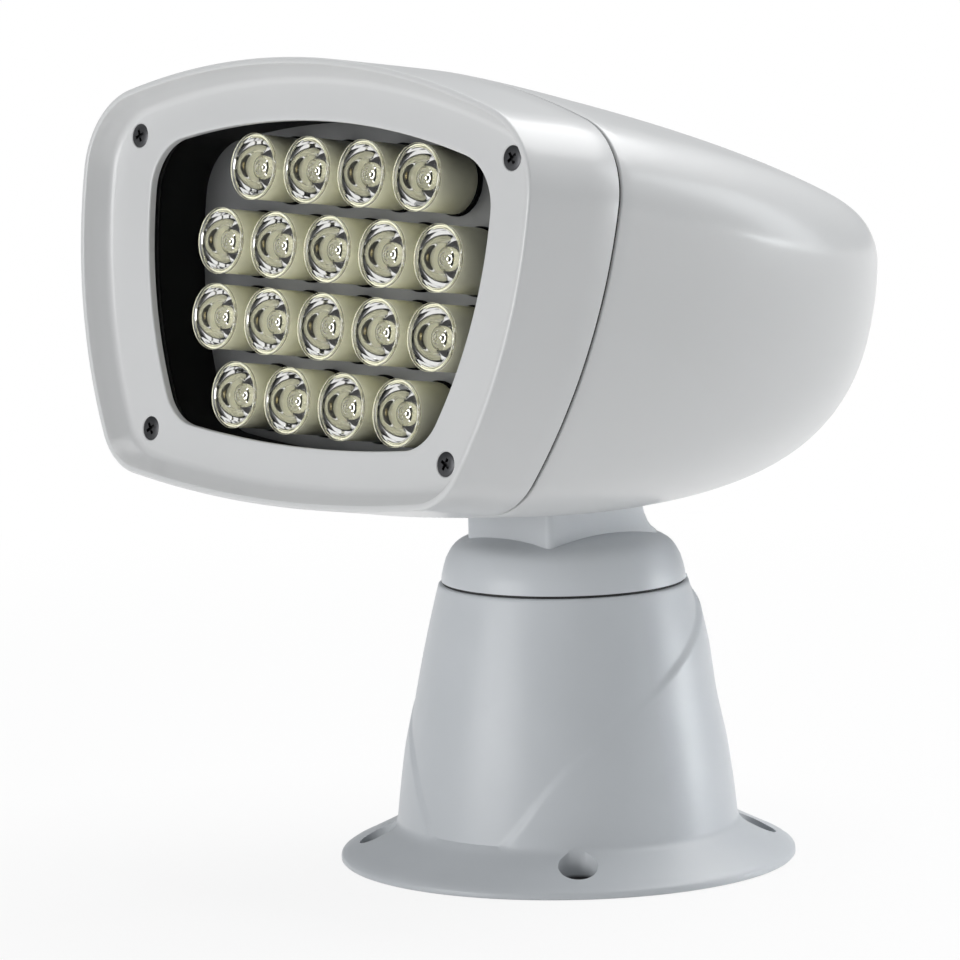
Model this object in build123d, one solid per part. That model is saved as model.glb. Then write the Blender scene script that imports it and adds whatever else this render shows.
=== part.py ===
from build123d import *
from math import acos, ceil, cos, hypot, pi, radians, sin, sqrt, tan
import os

# A remote-controlled LED floodlight for a deck or a roof: a flanged conical base, a turret that turns on it,
# and a bullet-shaped lamp head that tilts on the turret's neck. Millimetres, +Z up. The origin is the centre
# of the mounting face, on the pan axis, and the head faces -Y. Head pieces are modelled with the head level,
# then turned up about the tilt axis to the attitude that it rests in.

# Places of the main axes
TILT_Z = 150.0             # tilt axis above the mounting face
LAMP_RISE = 38.1           # lamp centre line above the tilt axis
FACE_AHEAD = 118.8         # flat bezel face in front of the tilt axis
REST_PITCH = 8.2           # upward tilt of the head at rest, degrees
BASE_TURN = 10.0           # the base's front, counted from the head's front, degrees
LAMP_Z = TILT_Z + LAMP_RISE

# Head form: crest of the front rim, section at the seam, and the run to the tail
RIM_LIFT = 8.4             # crest of the rim in front of the flat bezel face
SEAM_DEPTH = 27.6          # seam behind the flat bezel face, at lamp height
SEAM_LEAN = 3.3            # the seam lies further back at its top, degrees
SEAM_GAP = 1.2
TAIL_LENGTH = 197.0        # from the seam to the tip of the tail
TAIL_RISE = 1.3            # tip of the tail above the lamp centre line
HEAD_WALL = 3.2
CREST_HALF = 110.7
CREST_TOP = 73.9
CREST_BOTTOM = 71.9
DRAFT_SIDE = 1.5           # the section grows this much from the crest to the seam
DRAFT_TOP = 0.4
DRAFT_BOTTOM = 0.6
SEAM_HALF = CREST_HALF + DRAFT_SIDE
SEAM_TOP = CREST_TOP + DRAFT_TOP
SEAM_BOTTOM = CREST_BOTTOM + DRAFT_BOTTOM
WIDEST_RISE = 30.3         # widest place of a section above the lamp centre line
CROWN_RADIUS = 310.0
FLANK_RADIUS = 176.5
BELLY_RADIUS = 540.0
TOP_CORNER = 29.0
BOTTOM_CORNER = 23.0
TAIL_TOP_CORNER = 27.4     # corner radii that the sections tend to at the tail, before they shrink
TAIL_BOTTOM_CORNER = 92.0
WIDTH_CURVE = (3.503, 1.717)   # powers of the curves that close the tail
ROOF_CURVE = (1.209, 3.615)
BELLY_CURVE = (1.666, 2.996)
WIDEST_CURVE = 3.49
STATIONS = (0.0, 0.18, 0.36, 0.52, 0.66, 0.78, 0.88, 0.95)
INNER_STATIONS = STATIONS[:-2]

# Front bezel
FACE_PLATE = 2.6           # thickness of the bezel plate round the window
RIM_WIDTH = 1.6            # width of the crest before it is rounded
DISH_WIDTH = 6.2           # from the outside of the rim to the flat face
DISH_FILLET = 3.0
RIM_ROUND = 0.7
OPENING_HALF = 84.1
OPENING_WIDEST = 29.0
OPENING_TOP = 53.9
OPENING_BOTTOM = 52.2
OPENING_CROWN = 300.0
OPENING_FLANK = 148.0
OPENING_BELLY = 500.0
OPENING_CORNER = 18.0
BEZEL_SCREW_TOP = (92.2, 45.6)
BEZEL_SCREW_BOTTOM = (73.6, -52.0)
BEZEL_SCREW_LENGTH = 42.0
BEZEL_BOSS = 4.5
HOUSING_BOSS_LENGTH = 26.0
RIB_WIDTH = 2.6

# Window, its seal and the dark shroud behind it
GLASS_THICKNESS = 2.2
GLASS_OVERLAP = 4.8        # glass edge beyond the opening
SEAL_LEG = 0.6
SEAL_COVER = 2.0           # the seal starts this far outside the opening
SEAL_WALL = 1.2
SHROUD_OFFSET = 1.6        # shroud's inner face outside the opening
SHROUD_WALL = 1.8
SHROUD_FLANGE = 1.2

# Lamp array: rows of 4, 5, 5 and 4 optics on an aluminium plate. Each is a clear collimator in a cream cup
ROW_PITCH = 25.3
COLUMN_PITCH = 27.0
ROW_COUNTS = (4, 5, 5, 4)
REFLECTOR_RADIUS = 10.8
REFLECTOR_LENGTH = 16.3
REFLECTOR_THROAT = 5.2
LENS_DEPTH = 6.8           # front of the collimators behind the flat bezel face
LENS_RIM = 11.1            # radius of the collimator's front flange, which rests on the cup
LENS_FLANGE = 1.2
LENS_DISH = 0.5            # depth of the shallow dish in the collimator's front
LENS_BODY = 9.9            # the collimator's flank runs from this radius at its flange
LENS_TAPER = 5.0           # to this one at its end
LENS_LENGTH = 13.0
LENS_WELL = 3.4            # radius and depth of the well over the emitter
LENS_WELL_DEPTH = 4.6
HOLDER_HEIGHT = 1.5
PLATE_THICKNESS = 1.6
PLATE_INSET = 7.0
EMITTER_SIDE = 6.0
EMITTER_HEIGHT = 0.8
EMITTER_DOME = 2.4
PLATE_SCREW_TOP = (50.0, 59.5)
PLATE_SCREW_BOTTOM = (45.0, -60.0)
PLATE_POST = 3.2

# Heat sink
SINK_BASE = 4.0
SINK_INSET = 9.0
FIN_COUNT = 15
FIN_PITCH = 10.0
FIN_THICKNESS = 2.0
FIN_DEPTH = 20.0
FIN_TOP = 44.0
FIN_BOTTOM = 46.0
PILLAR_RADIUS = 5.0

# Tilt yoke, shaft and drive, all about the tilt axis
YOKE_PLATE = 4.0
YOKE_HALF = 46.0
YOKE_BELOW = 12.0
YOKE_WEB_RISE = 28.0
YOKE_REACH = 14.0          # web and ears reach this far behind the tilt axis
YOKE_SCREW_X = 39.0
YOKE_EYE = 13.0
LEFT_EAR = 23.0            # inner face of the ear on the -X side
RIGHT_EAR = 29.0           # inner face of the ear on the drive side
SHAFT_RADIUS = 5.0
SHAFT_END = 3.0            # shaft beyond the ears
CLIP_THICKNESS = 1.2
CLIP_RADIUS = 8.5
TILT_MODULE = 1.0
SECTOR_TEETH = 48
TILT_PINION_TEETH = 12
SECTOR_WIDTH = 5.0
SECTOR_SPAN = (-8.0, 60.0)
SECTOR_HUB = 14.0
TILT_PINION_ANGLE = 35.0   # direction from the shaft to the pinion, above the rear, head level
MOTOR_RADIUS = 12.0
TILT_MOTOR_LENGTH = 36.0
MOTOR_SHAFT = 1.5

# Neck and turret
NECK_HALF = 21.0
NECK_FRONT = 25.8
NECK_REAR = 18.7
NECK_CROWN = 19.0          # rounding of the neck's top about the tilt axis
NECK_WALL = 5.0
NECK_CORNER = 2.5
NECK_FLARE = 7.0           # the neck's rear runs out into the cap by this much
FLARE_RISE = 13.8          # height of that run above the cap's crown
FLARE_HOLLOW = 2.4
SLOT_CLEARANCE = 2.2       # head wall to the neck, sideways
SLOT_FRONT = 34.5
SLOT_REAR = 35.0
BUSH_WALL = 2.0
BUSH_FLANGE = 1.0
CAP_STEP = 0.9             # the cap's rim lies inside the top edge of the cone
CAP_WALL_INSET = 2.9       # its side leans in by this much up to the shoulder
CAP_CROWN_INSET = 8.8      # and the shoulder rounds off this far inside its rim
CAP_SHOULDER_RISE = 9.8
CAP_CROWN_RISE = 14.5
CAP_TOP_RISE = 18.9
CAP_BULGES = (0.36, 0.78, 1.1)   # how far the side, the shoulder and the top stand off their chords
TURRET_WALL = 3.6
TURRET_BOSS_RADIUS = 25.0

# Pan spindle, bearings and drive
SPINDLE_RADIUS = 9.0
SPINDLE_BORE = 5.5
SPINDLE_FLANGE = 24.0
SPINDLE_FLANGE_THICKNESS = 3.0
SPINDLE_SCREW_CIRCLE = 20.0
PAN_BUSH_WALL = 2.5
PAN_BUSH_LENGTH = 9.0
BEARING_TOP_Z = 88.0
BEARING_BOTTOM_Z = 58.0
BEARING_WALL = 4.0
PAN_MODULE = 1.0
PAN_GEAR_TEETH = 42
PAN_PINION_TEETH = 12
PAN_GEAR_WIDTH = 6.0
PAN_GEAR_HUB = 2.0
PAN_MOTOR_ANGLE = 100.0
PAN_MOTOR_LENGTH = 26.0
NUT_HEIGHT = 4.0
NUT_WIDTH = 24.0

# Base
FLANGE_RADIUS = 78.0
FLANGE_EDGE = 2.0
CONE_TOP_Z = 94.8
CONE_TOP_RADIUS = 42.7
CONE_FOOT_Z = 13.5
CONE_FOOT_RADIUS = 57.6
CONE_BULGE = 1.52          # the side stands off its chord by this much
FOOT_STEP = (2.4, 2.7)     # out and down from the cone's foot to the flange's slope
EDGE_STEP = (2.0, 1.6)     # in and up from the flange's edge to its slope
LAPEL_TOP = 1.9            # the raised side stands proud of the cone by this much at its top
LAPEL_FOOT = 0.8           # and by this much at its foot
LAPEL_BULGE = 1.38
LAPEL_LINE = ((-57.0, 10.0), (-50.8, 31.0), (-36.8, 47.0), (-9.8, 65.7), (20.0, 82.6), (42.0, 93.9))
BASE_WALL = 3.6
WEB_Z = 78.0
WEB_THICKNESS = 5.0
BOLT_INSET = 13.0          # bolt circle, in from the flange's edge
BOLT_HOLE = 2.9
BOLT_SINK = 6.65
BOLT_FLOOR_Z = 3.2
BOLT_START = 39.5          # first mounting hole, counted from the base's front, degrees
POST_RADIUS = 5.0
POST_BITE = 1.02087        # the posts run into the wall by this much at the gear plate's height
GEAR_PLATE_Z = 40.0
GEAR_PLATE_THICKNESS = 3.0
BASE_PLATE_Z = 8.0
BASE_PLATE_THICKNESS = 3.0
BASE_BORE = 53.0           # cylindrical mouth of the base below the closing plate
MOUTH_SEAL = 2.5
GASKET_INSET = 5.0         # middle of the mounting gasket, in from the flange's edge
GASKET_WIDTH = 3.0
GASKET_THICKNESS = 1.5
CAP_GAP = 0.9              # open joint between the base and the turret's cap
SEAL_LIFT = 0.1            # the seal between them stands clear of the cap by this much
GLAND_RADIUS = 8.0
GLAND_BORE = 3.5
GLAND_AT = (-4.0, -28.0)
BOARD_SIZE = (52.0, 30.0)
BOARD_AT = (0.0, -3.0)
BOARD_THICKNESS = 1.6

# Fits
RUNNING = 0.05             # radial clearance of a shaft that turns in its bush
SEATED = 0.02              # radial clearance of a piece that is fixed on a shaft or in a bore
LOOSE = 0.2                # clearance of a screw in its hole
MESH_BACKLASH = 0.16
PRESSURE_ANGLE = 25.0


BOLT_CIRCLE = FLANGE_RADIUS - BOLT_INSET
GASKET_RADIUS = FLANGE_RADIUS - GASKET_INSET
CAP_Z = CONE_TOP_Z + CAP_GAP
CAP_RADIUS = CONE_TOP_RADIUS - CAP_STEP
CAP_CROWN_Z = CAP_Z + CAP_CROWN_RISE


def unit(dx, dz):
    length = hypot(dx, dz)
    return dx / length, dz / length


def on_circle(centre, towards, radius):
    dx, dz = unit(towards[0] - centre[0], towards[1] - centre[1])
    return centre[0] + radius * dx, centre[1] + radius * dz


def crossing(c1, r1, c2, r2, upper):
    """The crossing of two circles that lies to the right, and above or below as upper says."""
    dx, dz = c2[0] - c1[0], c2[1] - c1[1]
    gap = hypot(dx, dz)
    along = (r1 * r1 - r2 * r2 + gap * gap) / (2 * gap)
    across = sqrt(max(r1 * r1 - along * along, 0.0))
    mx, mz = c1[0] + along * dx / gap, c1[1] + along * dz / gap
    sides = [(mx - across * dz / gap, mz + across * dx / gap), (mx + across * dz / gap, mz - across * dx / gap)]
    return max(sides, key=lambda p: p[0] + (p[1] if upper else -p[1]))


class Outline:
    """A crowned, waisted shield: top, flank and belly arcs with rounded corners, mirrored about x = 0."""

    def __init__(self, half, widest, top, bottom, crown, flank, belly, top_corner, bottom_corner):
        self.half, self.widest, self.top, self.bottom = half, widest, top, bottom
        self.crown, self.flank, self.belly = crown, flank, belly
        self.top_corner, self.bottom_corner = top_corner, bottom_corner

    def blend(self, other, share):
        mine, theirs = vars(self), vars(other)
        return Outline(*[mine[k] + (theirs[k] - mine[k]) * share for k in mine])

    def wire(self, depth, inset=0.0):
        """The outline moved inwards by inset, at a depth behind the flat bezel face."""
        crown, flank, belly = self.crown - inset, self.flank - inset, self.belly - inset
        k1, k2 = max(self.top_corner - inset, 0.5), max(self.bottom_corner - inset, 0.5)
        top, bottom = self.top - inset, self.bottom + inset
        c_top, c_side, c_low = (0, top - crown), (self.half - inset - flank, self.widest), (0, bottom + belly)
        f1 = crossing(c_top, crown - k1, c_side, flank - k1, True)
        f2 = crossing(c_side, flank - k2, c_low, belly - k2, False)
        t1, t2 = on_circle(c_top, f1, crown), on_circle(c_side, f1, flank)
        t3, t4 = on_circle(c_side, f2, flank), on_circle(c_low, f2, belly)
        y = depth - FACE_AHEAD

        def middle(centre, a, b, radius):
            return on_circle(centre, (a[0] + b[0] - centre[0], a[1] + b[1] - centre[1]), radius)

        def arc(a, m, b):
            return ThreePointArc(*[(x, y, LAMP_Z + z) for x, z in (a, m, b)])

        right = [(t1, middle(f1, t1, t2, k1), t2), (t2, middle(c_side, t2, t3, flank), t3),
                 (t3, middle(f2, t3, t4, k2), t4)]
        left = [tuple((-x, z) for x, z in reversed(run)) for run in reversed(right)]
        runs = [((-t1[0], t1[1]), (0, top), t1)] + right + [(t4, (0, bottom), (-t4[0], t4[1]))] + left
        return Wire([arc(*run) for run in runs])

    def slab(self, depth, thickness, inset=0.0):
        return extrude(Face(self.wire(depth, inset)), thickness, dir=(0, 1, 0))

    def ring(self, depth, thickness, outer, inner):
        return extrude(Face(self.wire(depth, outer), [self.wire(depth, inner)]), thickness, dir=(0, 1, 0))


CREST = Outline(CREST_HALF, WIDEST_RISE, CREST_TOP, -CREST_BOTTOM, CROWN_RADIUS, FLANK_RADIUS, BELLY_RADIUS,
                TOP_CORNER, BOTTOM_CORNER)
SEAM = Outline(SEAM_HALF, WIDEST_RISE, SEAM_TOP, -SEAM_BOTTOM, CROWN_RADIUS, FLANK_RADIUS, BELLY_RADIUS,
               TOP_CORNER, BOTTOM_CORNER)
OPENING = Outline(OPENING_HALF, OPENING_WIDEST, OPENING_TOP, -OPENING_BOTTOM, OPENING_CROWN, OPENING_FLANK,
                  OPENING_BELLY, OPENING_CORNER, OPENING_CORNER)


def rim_section(depth):
    """Section of the straight front part of the head, between and just beyond the crest and the seam."""
    return CREST.blend(SEAM, (depth + RIM_LIFT) / (SEAM_DEPTH + RIM_LIFT))


def tail_section(share):
    """Section of the tail at a share of its length. Every size follows a closing power curve."""
    def closing(curve):
        return (1 - share ** curve[0]) ** (1 / curve[1])

    half = SEAM_HALF * closing(WIDTH_CURVE)
    top = TAIL_RISE + (SEAM_TOP - TAIL_RISE) * closing(ROOF_CURVE)
    bottom = TAIL_RISE - (TAIL_RISE + SEAM_BOTTOM) * closing(BELLY_CURVE)
    widest = WIDEST_RISE + (TAIL_RISE - WIDEST_RISE) * share ** WIDEST_CURVE
    scale = half / SEAM_HALF
    top_corner = (TOP_CORNER + (TAIL_TOP_CORNER - TOP_CORNER) * share) * scale
    top_corner = min(top_corner, 0.9 * (top - widest), 0.9 * half)
    bottom_corner = (BOTTOM_CORNER + (TAIL_BOTTOM_CORNER - BOTTOM_CORNER) * share) * scale
    bottom_corner = min(bottom_corner, 0.9 * (widest - bottom), 0.9 * half)
    crown = max(CROWN_RADIUS * scale, top_corner * 1.2)
    flank = max(FLANK_RADIUS * scale * (1 - 0.35 * share), top_corner * 1.2, bottom_corner * 1.2,
                0.6 * (top - bottom))
    belly = max(BELLY_RADIUS * scale * (1 - 0.6 * share), bottom_corner * 1.2, half * 1.02)
    return Outline(half, widest, top, bottom, crown, flank, belly, top_corner, bottom_corner)


SEAM_OVERRUN = 8.0         # the straight part is modelled this far past the seam, then cut along it


def tail_skin(stations, inset):
    """The lofted skin of the tail, open at its front, and its front wire."""
    front = rim_section(SEAM_DEPTH - SEAM_OVERRUN).wire(SEAM_DEPTH - SEAM_OVERRUN, inset)
    wires = [front]
    for share in stations:
        depth = SEAM_DEPTH + TAIL_LENGTH * share - inset * share ** 3
        wires.append(tail_section(share).wire(depth, inset))
    tip = Vertex(0, SEAM_DEPTH + TAIL_LENGTH - inset - FACE_AHEAD, LAMP_Z + TAIL_RISE)
    solid = Solid.make_loft(wires + [tip])
    return [face for face in solid.faces() if face.geom_type != GeomType.PLANE], front


def seam_plane(offset):
    """The leaning plane of the seam, moved along its normal. Its normal points to the tail."""
    lean = radians(SEAM_LEAN)
    normal = Vector(0, cos(lean), -sin(lean))
    return Plane(origin=Vector(0, SEAM_DEPTH - FACE_AHEAD, LAMP_Z) + normal * offset, z_dir=normal)


def behind_seam(shape):
    return split(shape, bisect_by=seam_plane(SEAM_GAP / 2), keep=Keep.TOP)


def before_seam(shape):
    return split(shape, bisect_by=seam_plane(-SEAM_GAP / 2), keep=Keep.BOTTOM)


def bulged(a, b, bulge):
    """An arc from a to b that stands off its chord by bulge, to the right of the way from a to b."""
    dx, dz = unit(b[0] - a[0], b[1] - a[1])
    return ThreePointArc(a, ((a[0] + b[0]) / 2 + dz * bulge, (a[1] + b[1]) / 2 - dx * bulge), b)


def rod(radius, depth, length, x, z):
    """A cylinder along Y that starts at a depth behind the bezel face, at x and z from the lamp centre."""
    return Pos(x, depth + length / 2 - FACE_AHEAD, LAMP_Z + z) * Rot(90, 0, 0) * Cylinder(radius, length)


def cross_rod(radius, x0, x1, y=0.0, z=0.0):
    """A cylinder along X from x0 to x1, at y and z from the tilt axis."""
    return Pos((x0 + x1) / 2, y, TILT_Z + z) * Rot(0, 90, 0) * Cylinder(radius, abs(x1 - x0))


def post(radius, z0, z1, x=0.0, y=0.0):
    """A cylinder along Z from z0 to z1."""
    return Pos(x, y, (z0 + z1) / 2) * Cylinder(radius, abs(z1 - z0))


def block(x0, x1, y0, y1, z0, z1):
    return Pos((x0 + x1) / 2, (y0 + y1) / 2, (z0 + z1) / 2) * Box(x1 - x0, y1 - y0, z1 - z0)


def mirrored(points):
    return [(side * x, z) for x, z in points for side in (1, -1)]


def polar(radius, angle):
    return radius * cos(radians(angle)), radius * sin(radians(angle))


BEZEL_SCREWS = mirrored([BEZEL_SCREW_TOP, BEZEL_SCREW_BOTTOM])
PLATE_SCREWS = mirrored([PLATE_SCREW_TOP, PLATE_SCREW_BOTTOM])
LAMPS = [((column - (count - 1) / 2) * COLUMN_PITCH, (1.5 - row) * ROW_PITCH)
         for row, count in enumerate(ROW_COUNTS) for column in range(count)]

# Depths of what lies one behind another in the head
SEAL_DEPTH = FACE_PLATE
GLASS_DEPTH = SEAL_DEPTH + SEAL_LEG
SHROUD_DEPTH = GLASS_DEPTH + GLASS_THICKNESS + SEAL_LEG
REFLECTOR_DEPTH = LENS_DEPTH + LENS_FLANGE
PLATE_DEPTH = REFLECTOR_DEPTH + REFLECTOR_LENGTH + HOLDER_HEIGHT
SINK_DEPTH = PLATE_DEPTH + PLATE_THICKNESS
FIN_START = SINK_DEPTH + SINK_BASE
FIN_END = FIN_START + FIN_DEPTH
YOKE_FRONT_Y = FIN_END - FACE_AHEAD
YOKE_SCREWS = [(side * YOKE_SCREW_X, level) for side in (1, -1) for level in (-LAMP_RISE - 4, 2.0)]

# Screw sizes: shank radius, head radius, head height
M4 = (1.95, 3.5, 2.6)
M3 = (1.45, 2.75, 2.2)
SINK_HEAD = (4.0, 2.1)     # head radius and height of the countersunk bezel screws


def cap_screw(size, length):
    """A round-headed screw: its head stands on the origin plane and its shank runs down -Z."""
    shank, head, height = size
    body = Pos(0, 0, height / 2) * Cylinder(head, height) + Pos(0, 0, -length / 2) * Cylinder(shank, length)
    socket = extrude(RegularPolygon(head * 0.5, 6), height * 0.55)
    return body - Pos(0, 0, height * 0.45) * socket


def sunk_screw(length):
    """A countersunk cross-recess screw: the flat of its head lies on the origin plane, shank down -Z."""
    head, height = SINK_HEAD
    shank = M4[0]
    body = Pos(0, 0, -height / 2) * Cone(shank, head, height) + Pos(0, 0, -length / 2) * Cylinder(shank, length)
    recess = Box(head * 1.1, head * 0.22, height * 0.6) + Box(head * 0.22, head * 1.1, height * 0.6)
    return body - Pos(0, 0, -height * 0.3) * recess


def gear_points(teeth, module, first, last, phase, backlash=MESH_BACKLASH):
    """Corner points of involute teeth number first to last. Tooth 0 is centred on the angle phase."""
    pitch = module * teeth / 2
    base = pitch * cos(radians(PRESSURE_ANGLE))
    tip, root = pitch + 0.9 * module, pitch - 1.25 * module

    def spread(radius):
        angle = acos(min(base / radius, 1.0))
        return tan(angle) - angle

    half_tooth = (pi * module / 2 - backlash) / (2 * pitch) + spread(pitch)
    start = max(root, base)
    flank = [start + (tip - start) * step for step in (0.0, 0.4, 0.75, 1.0)]
    points = []
    for tooth in range(first, last + 1):
        middle = radians(phase) + 2 * pi * tooth / teeth
        rising = [(r, half_tooth - spread(r)) for r in flank]
        if root < base:
            rising.insert(0, (root, half_tooth))
        for radius, offset in rising:
            points.append((radius * cos(middle - offset), radius * sin(middle - offset)))
        for radius, offset in reversed(rising):
            points.append((radius * cos(middle + offset), radius * sin(middle + offset)))
    return points


def full_gear(teeth, module, phase):
    return make_face(Polyline(*gear_points(teeth, module, 0, teeth - 1, phase), close=True))


# Head, front part


def front_frame():
    """Deep front ring with its raised rim, dished inside the rim down to the flat window frame."""
    back = SEAM_DEPTH + SEAM_OVERRUN
    body = Solid.make_loft([CREST.wire(-RIM_LIFT), rim_section(back).wire(back)], True)
    run = (RIM_LIFT + 1) / RIM_LIFT
    mouth = DISH_WIDTH + (RIM_WIDTH - DISH_WIDTH) * run
    dish = Solid.make_loft([CREST.wire(-RIM_LIFT - 1, mouth), CREST.wire(0, DISH_WIDTH)], True)
    body = body - dish
    crest_y = -RIM_LIFT - FACE_AHEAD
    crest_edges = [e for e in body.edges() if abs(e.center().Y - crest_y) < 0.01]
    body = fillet(crest_edges, RIM_ROUND)
    floor_edges = [e for e in body.edges() if abs(e.center().Y + FACE_AHEAD) < 0.01]
    body = fillet(floor_edges, DISH_FILLET)
    cavity = Solid.make_loft([rim_section(FACE_PLATE).wire(FACE_PLATE, HEAD_WALL),
                              rim_section(back).wire(back, HEAD_WALL)], True)
    body = before_seam(body - cavity)
    bosses = [rod(BEZEL_BOSS, FACE_PLATE, back - FACE_PLATE, x, z) for x, z in BEZEL_SCREWS]
    posts = [rod(PLATE_POST, FACE_PLATE, PLATE_DEPTH - FACE_PLATE, x, z) for x, z in PLATE_SCREWS]
    body = body + [before_seam(boss) for boss in bosses] + posts
    cuts = [OPENING.slab(-1, FACE_PLATE + 2)]
    for x, z in BEZEL_SCREWS:
        cuts.append(rod(M4[0] + LOOSE, -1, back + 1, x, z))
        cuts.append(Pos(x, SINK_HEAD[1] / 2 - FACE_AHEAD, LAMP_Z + z) * Rot(90, 0, 0)
                    * Cone(M4[0] + LOOSE, SINK_HEAD[0] + LOOSE, SINK_HEAD[1]))
    for x, z in PLATE_SCREWS:
        cuts.append(rod(M3[0] + SEATED, PLATE_DEPTH - 12, 12, x, z))
    return body - cuts


def bezel_screws():
    return [Pos(x, -FACE_AHEAD, LAMP_Z + z) * Rot(90, 0, 0) * sunk_screw(BEZEL_SCREW_LENGTH)
            for x, z in BEZEL_SCREWS]


def window_glass():
    return OPENING.slab(GLASS_DEPTH, GLASS_THICKNESS, -GLASS_OVERLAP)


def window_gasket():
    edge = GLASS_OVERLAP + SEATED
    legs = OPENING.ring(SEAL_DEPTH, SHROUD_DEPTH - SEAL_DEPTH, -edge - SEAL_WALL, -SEAL_COVER)
    return legs - OPENING.slab(GLASS_DEPTH, GLASS_THICKNESS, -edge)


def inner_shroud():
    flange = OPENING.ring(SHROUD_DEPTH, SHROUD_FLANGE, -GLASS_OVERLAP - SEAL_WALL, -SHROUD_OFFSET)
    wall = OPENING.ring(SHROUD_DEPTH, PLATE_DEPTH - SHROUD_DEPTH, -SHROUD_OFFSET - SHROUD_WALL, -SHROUD_OFFSET)
    return flange + wall


# Head, lamp array and heat sink


def led_plate():
    plate = CREST.slab(PLATE_DEPTH, PLATE_THICKNESS, PLATE_INSET)
    cuts = [rod(BEZEL_BOSS + 1.1, PLATE_DEPTH - 1, PLATE_THICKNESS + 2, x, z) for x, z in BEZEL_SCREWS]
    cuts += [rod(M3[0] + LOOSE, PLATE_DEPTH - 1, PLATE_THICKNESS + 2, x, z) for x, z in PLATE_SCREWS]
    return plate - cuts


def led_emitters():
    emitters = []
    for x, z in LAMPS:
        y, height = PLATE_DEPTH - FACE_AHEAD, LAMP_Z + z
        chip = block(x - EMITTER_SIDE / 2, x + EMITTER_SIDE / 2, y - EMITTER_HEIGHT, y,
                     height - EMITTER_SIDE / 2, height + EMITTER_SIDE / 2)
        half_ball = Sphere(EMITTER_DOME, arc_size1=0, align=(Align.CENTER, Align.CENTER, Align.MIN))
        dome = Pos(x, y - EMITTER_HEIGHT, height) * Rot(90, 0, 0) * half_ball
        emitters.append(chip + dome)
    return emitters


def collimator():
    """One clear lens about Z, its front at z = 0: a dished flange, a curved flank and a well for the emitter."""
    dish = LENS_BODY - 0.4
    edge = Polyline((0, -LENS_DISH), (dish, -LENS_DISH), (dish + LENS_DISH, 0), (LENS_RIM, 0),
                    (LENS_RIM, -LENS_FLANGE), (LENS_BODY, -LENS_FLANGE))
    middle = ((LENS_BODY + LENS_TAPER) / 2 + 0.7, -(LENS_FLANGE + LENS_LENGTH) / 2)
    flank = ThreePointArc((LENS_BODY, -LENS_FLANGE), middle, (LENS_TAPER, -LENS_LENGTH))
    well_top = LENS_WELL_DEPTH - LENS_LENGTH
    well = Polyline((LENS_TAPER, -LENS_LENGTH), (LENS_WELL, -LENS_LENGTH), (LENS_WELL - 0.5, well_top),
                    (0, well_top + 0.8), (0, -LENS_DISH))
    return revolve(Plane.XZ * make_face([edge, flank, well]), Axis.Z)


def reflector():
    """One cup about Z, its rim at z = 0: a plain barrel outside and a cone inside that clears the lens."""
    seat = LENS_BODY + LOOSE
    foot = LENS_TAPER + 1.6
    profile = make_face(Polyline((REFLECTOR_THROAT, -REFLECTOR_LENGTH), (REFLECTOR_RADIUS, -REFLECTOR_LENGTH),
                                 (REFLECTOR_RADIUS, 0), (seat, 0), (seat - 0.3, -2.0),
                                 (foot, LENS_FLANGE - LENS_LENGTH), (REFLECTOR_THROAT, -REFLECTOR_LENGTH + 1),
                                 close=True))
    return revolve(Plane.XZ * profile, Axis.Z)


def facing_lamps(shape, depth):
    """Copies of a shape about Z, turned to face the window, one for each lamp."""
    return [Pos(x, depth - FACE_AHEAD, LAMP_Z + z) * Rot(90, 0, 0) * shape for x, z in LAMPS]


def collimator_lenses():
    return facing_lamps(collimator(), LENS_DEPTH)


def reflectors():
    return facing_lamps(reflector(), REFLECTOR_DEPTH)


def reflector_holders():
    outer, inner = REFLECTOR_RADIUS + 0.6, EMITTER_SIDE * 0.75
    ring = extrude(Circle(outer) - Circle(inner), HOLDER_HEIGHT)
    notch = Box(2.4, 2.4, HOLDER_HEIGHT * 3)
    for angle in (45, 135, 225, 315):
        ring = ring - Pos(*polar(outer, angle)) * Rot(0, 0, angle) * notch
    return facing_lamps(ring, PLATE_DEPTH)


def heat_sink():
    base = CREST.slab(SINK_DEPTH, SINK_BASE, SINK_INSET)
    fin_z0, fin_z1 = LAMP_Z - FIN_BOTTOM, LAMP_Z + FIN_TOP
    y0, y1 = FIN_START - FACE_AHEAD, FIN_END - FACE_AHEAD
    fins = []
    for index in range(FIN_COUNT):
        x = (index - (FIN_COUNT - 1) / 2) * FIN_PITCH
        fins.append(block(x - FIN_THICKNESS / 2, x + FIN_THICKNESS / 2, y0, y1, fin_z0, fin_z1))
    pillars = [rod(PILLAR_RADIUS, FIN_START, FIN_DEPTH, x, z) for x, z in YOKE_SCREWS]
    cuts = [rod(BEZEL_BOSS + 1.7, SINK_DEPTH - 1, SINK_BASE + 2, x, z) for x, z in BEZEL_SCREWS]
    cuts += [rod(M3[0] + LOOSE, SINK_DEPTH - 1, SINK_BASE + 2, x, z) for x, z in PLATE_SCREWS]
    cuts += [rod(M4[0] + SEATED, FIN_END - 14, 14, x, z) for x, z in YOKE_SCREWS]
    return (base + fins + pillars) - cuts


def plate_screws():
    length = FIN_START - PLATE_DEPTH + 9
    return [Pos(x, FIN_START - FACE_AHEAD, LAMP_Z + z) * Rot(-90, 0, 0) * cap_screw(M3, length)
            for x, z in PLATE_SCREWS]


# Head, rear housing


def slot_block(shrink=0.0):
    """The opening in the underside that the neck passes through."""
    half = NECK_HALF + SLOT_CLEARANCE - shrink
    return block(-half, half, -SLOT_FRONT + shrink, SLOT_REAR - shrink, TILT_Z - 50, TILT_Z - 8)


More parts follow.
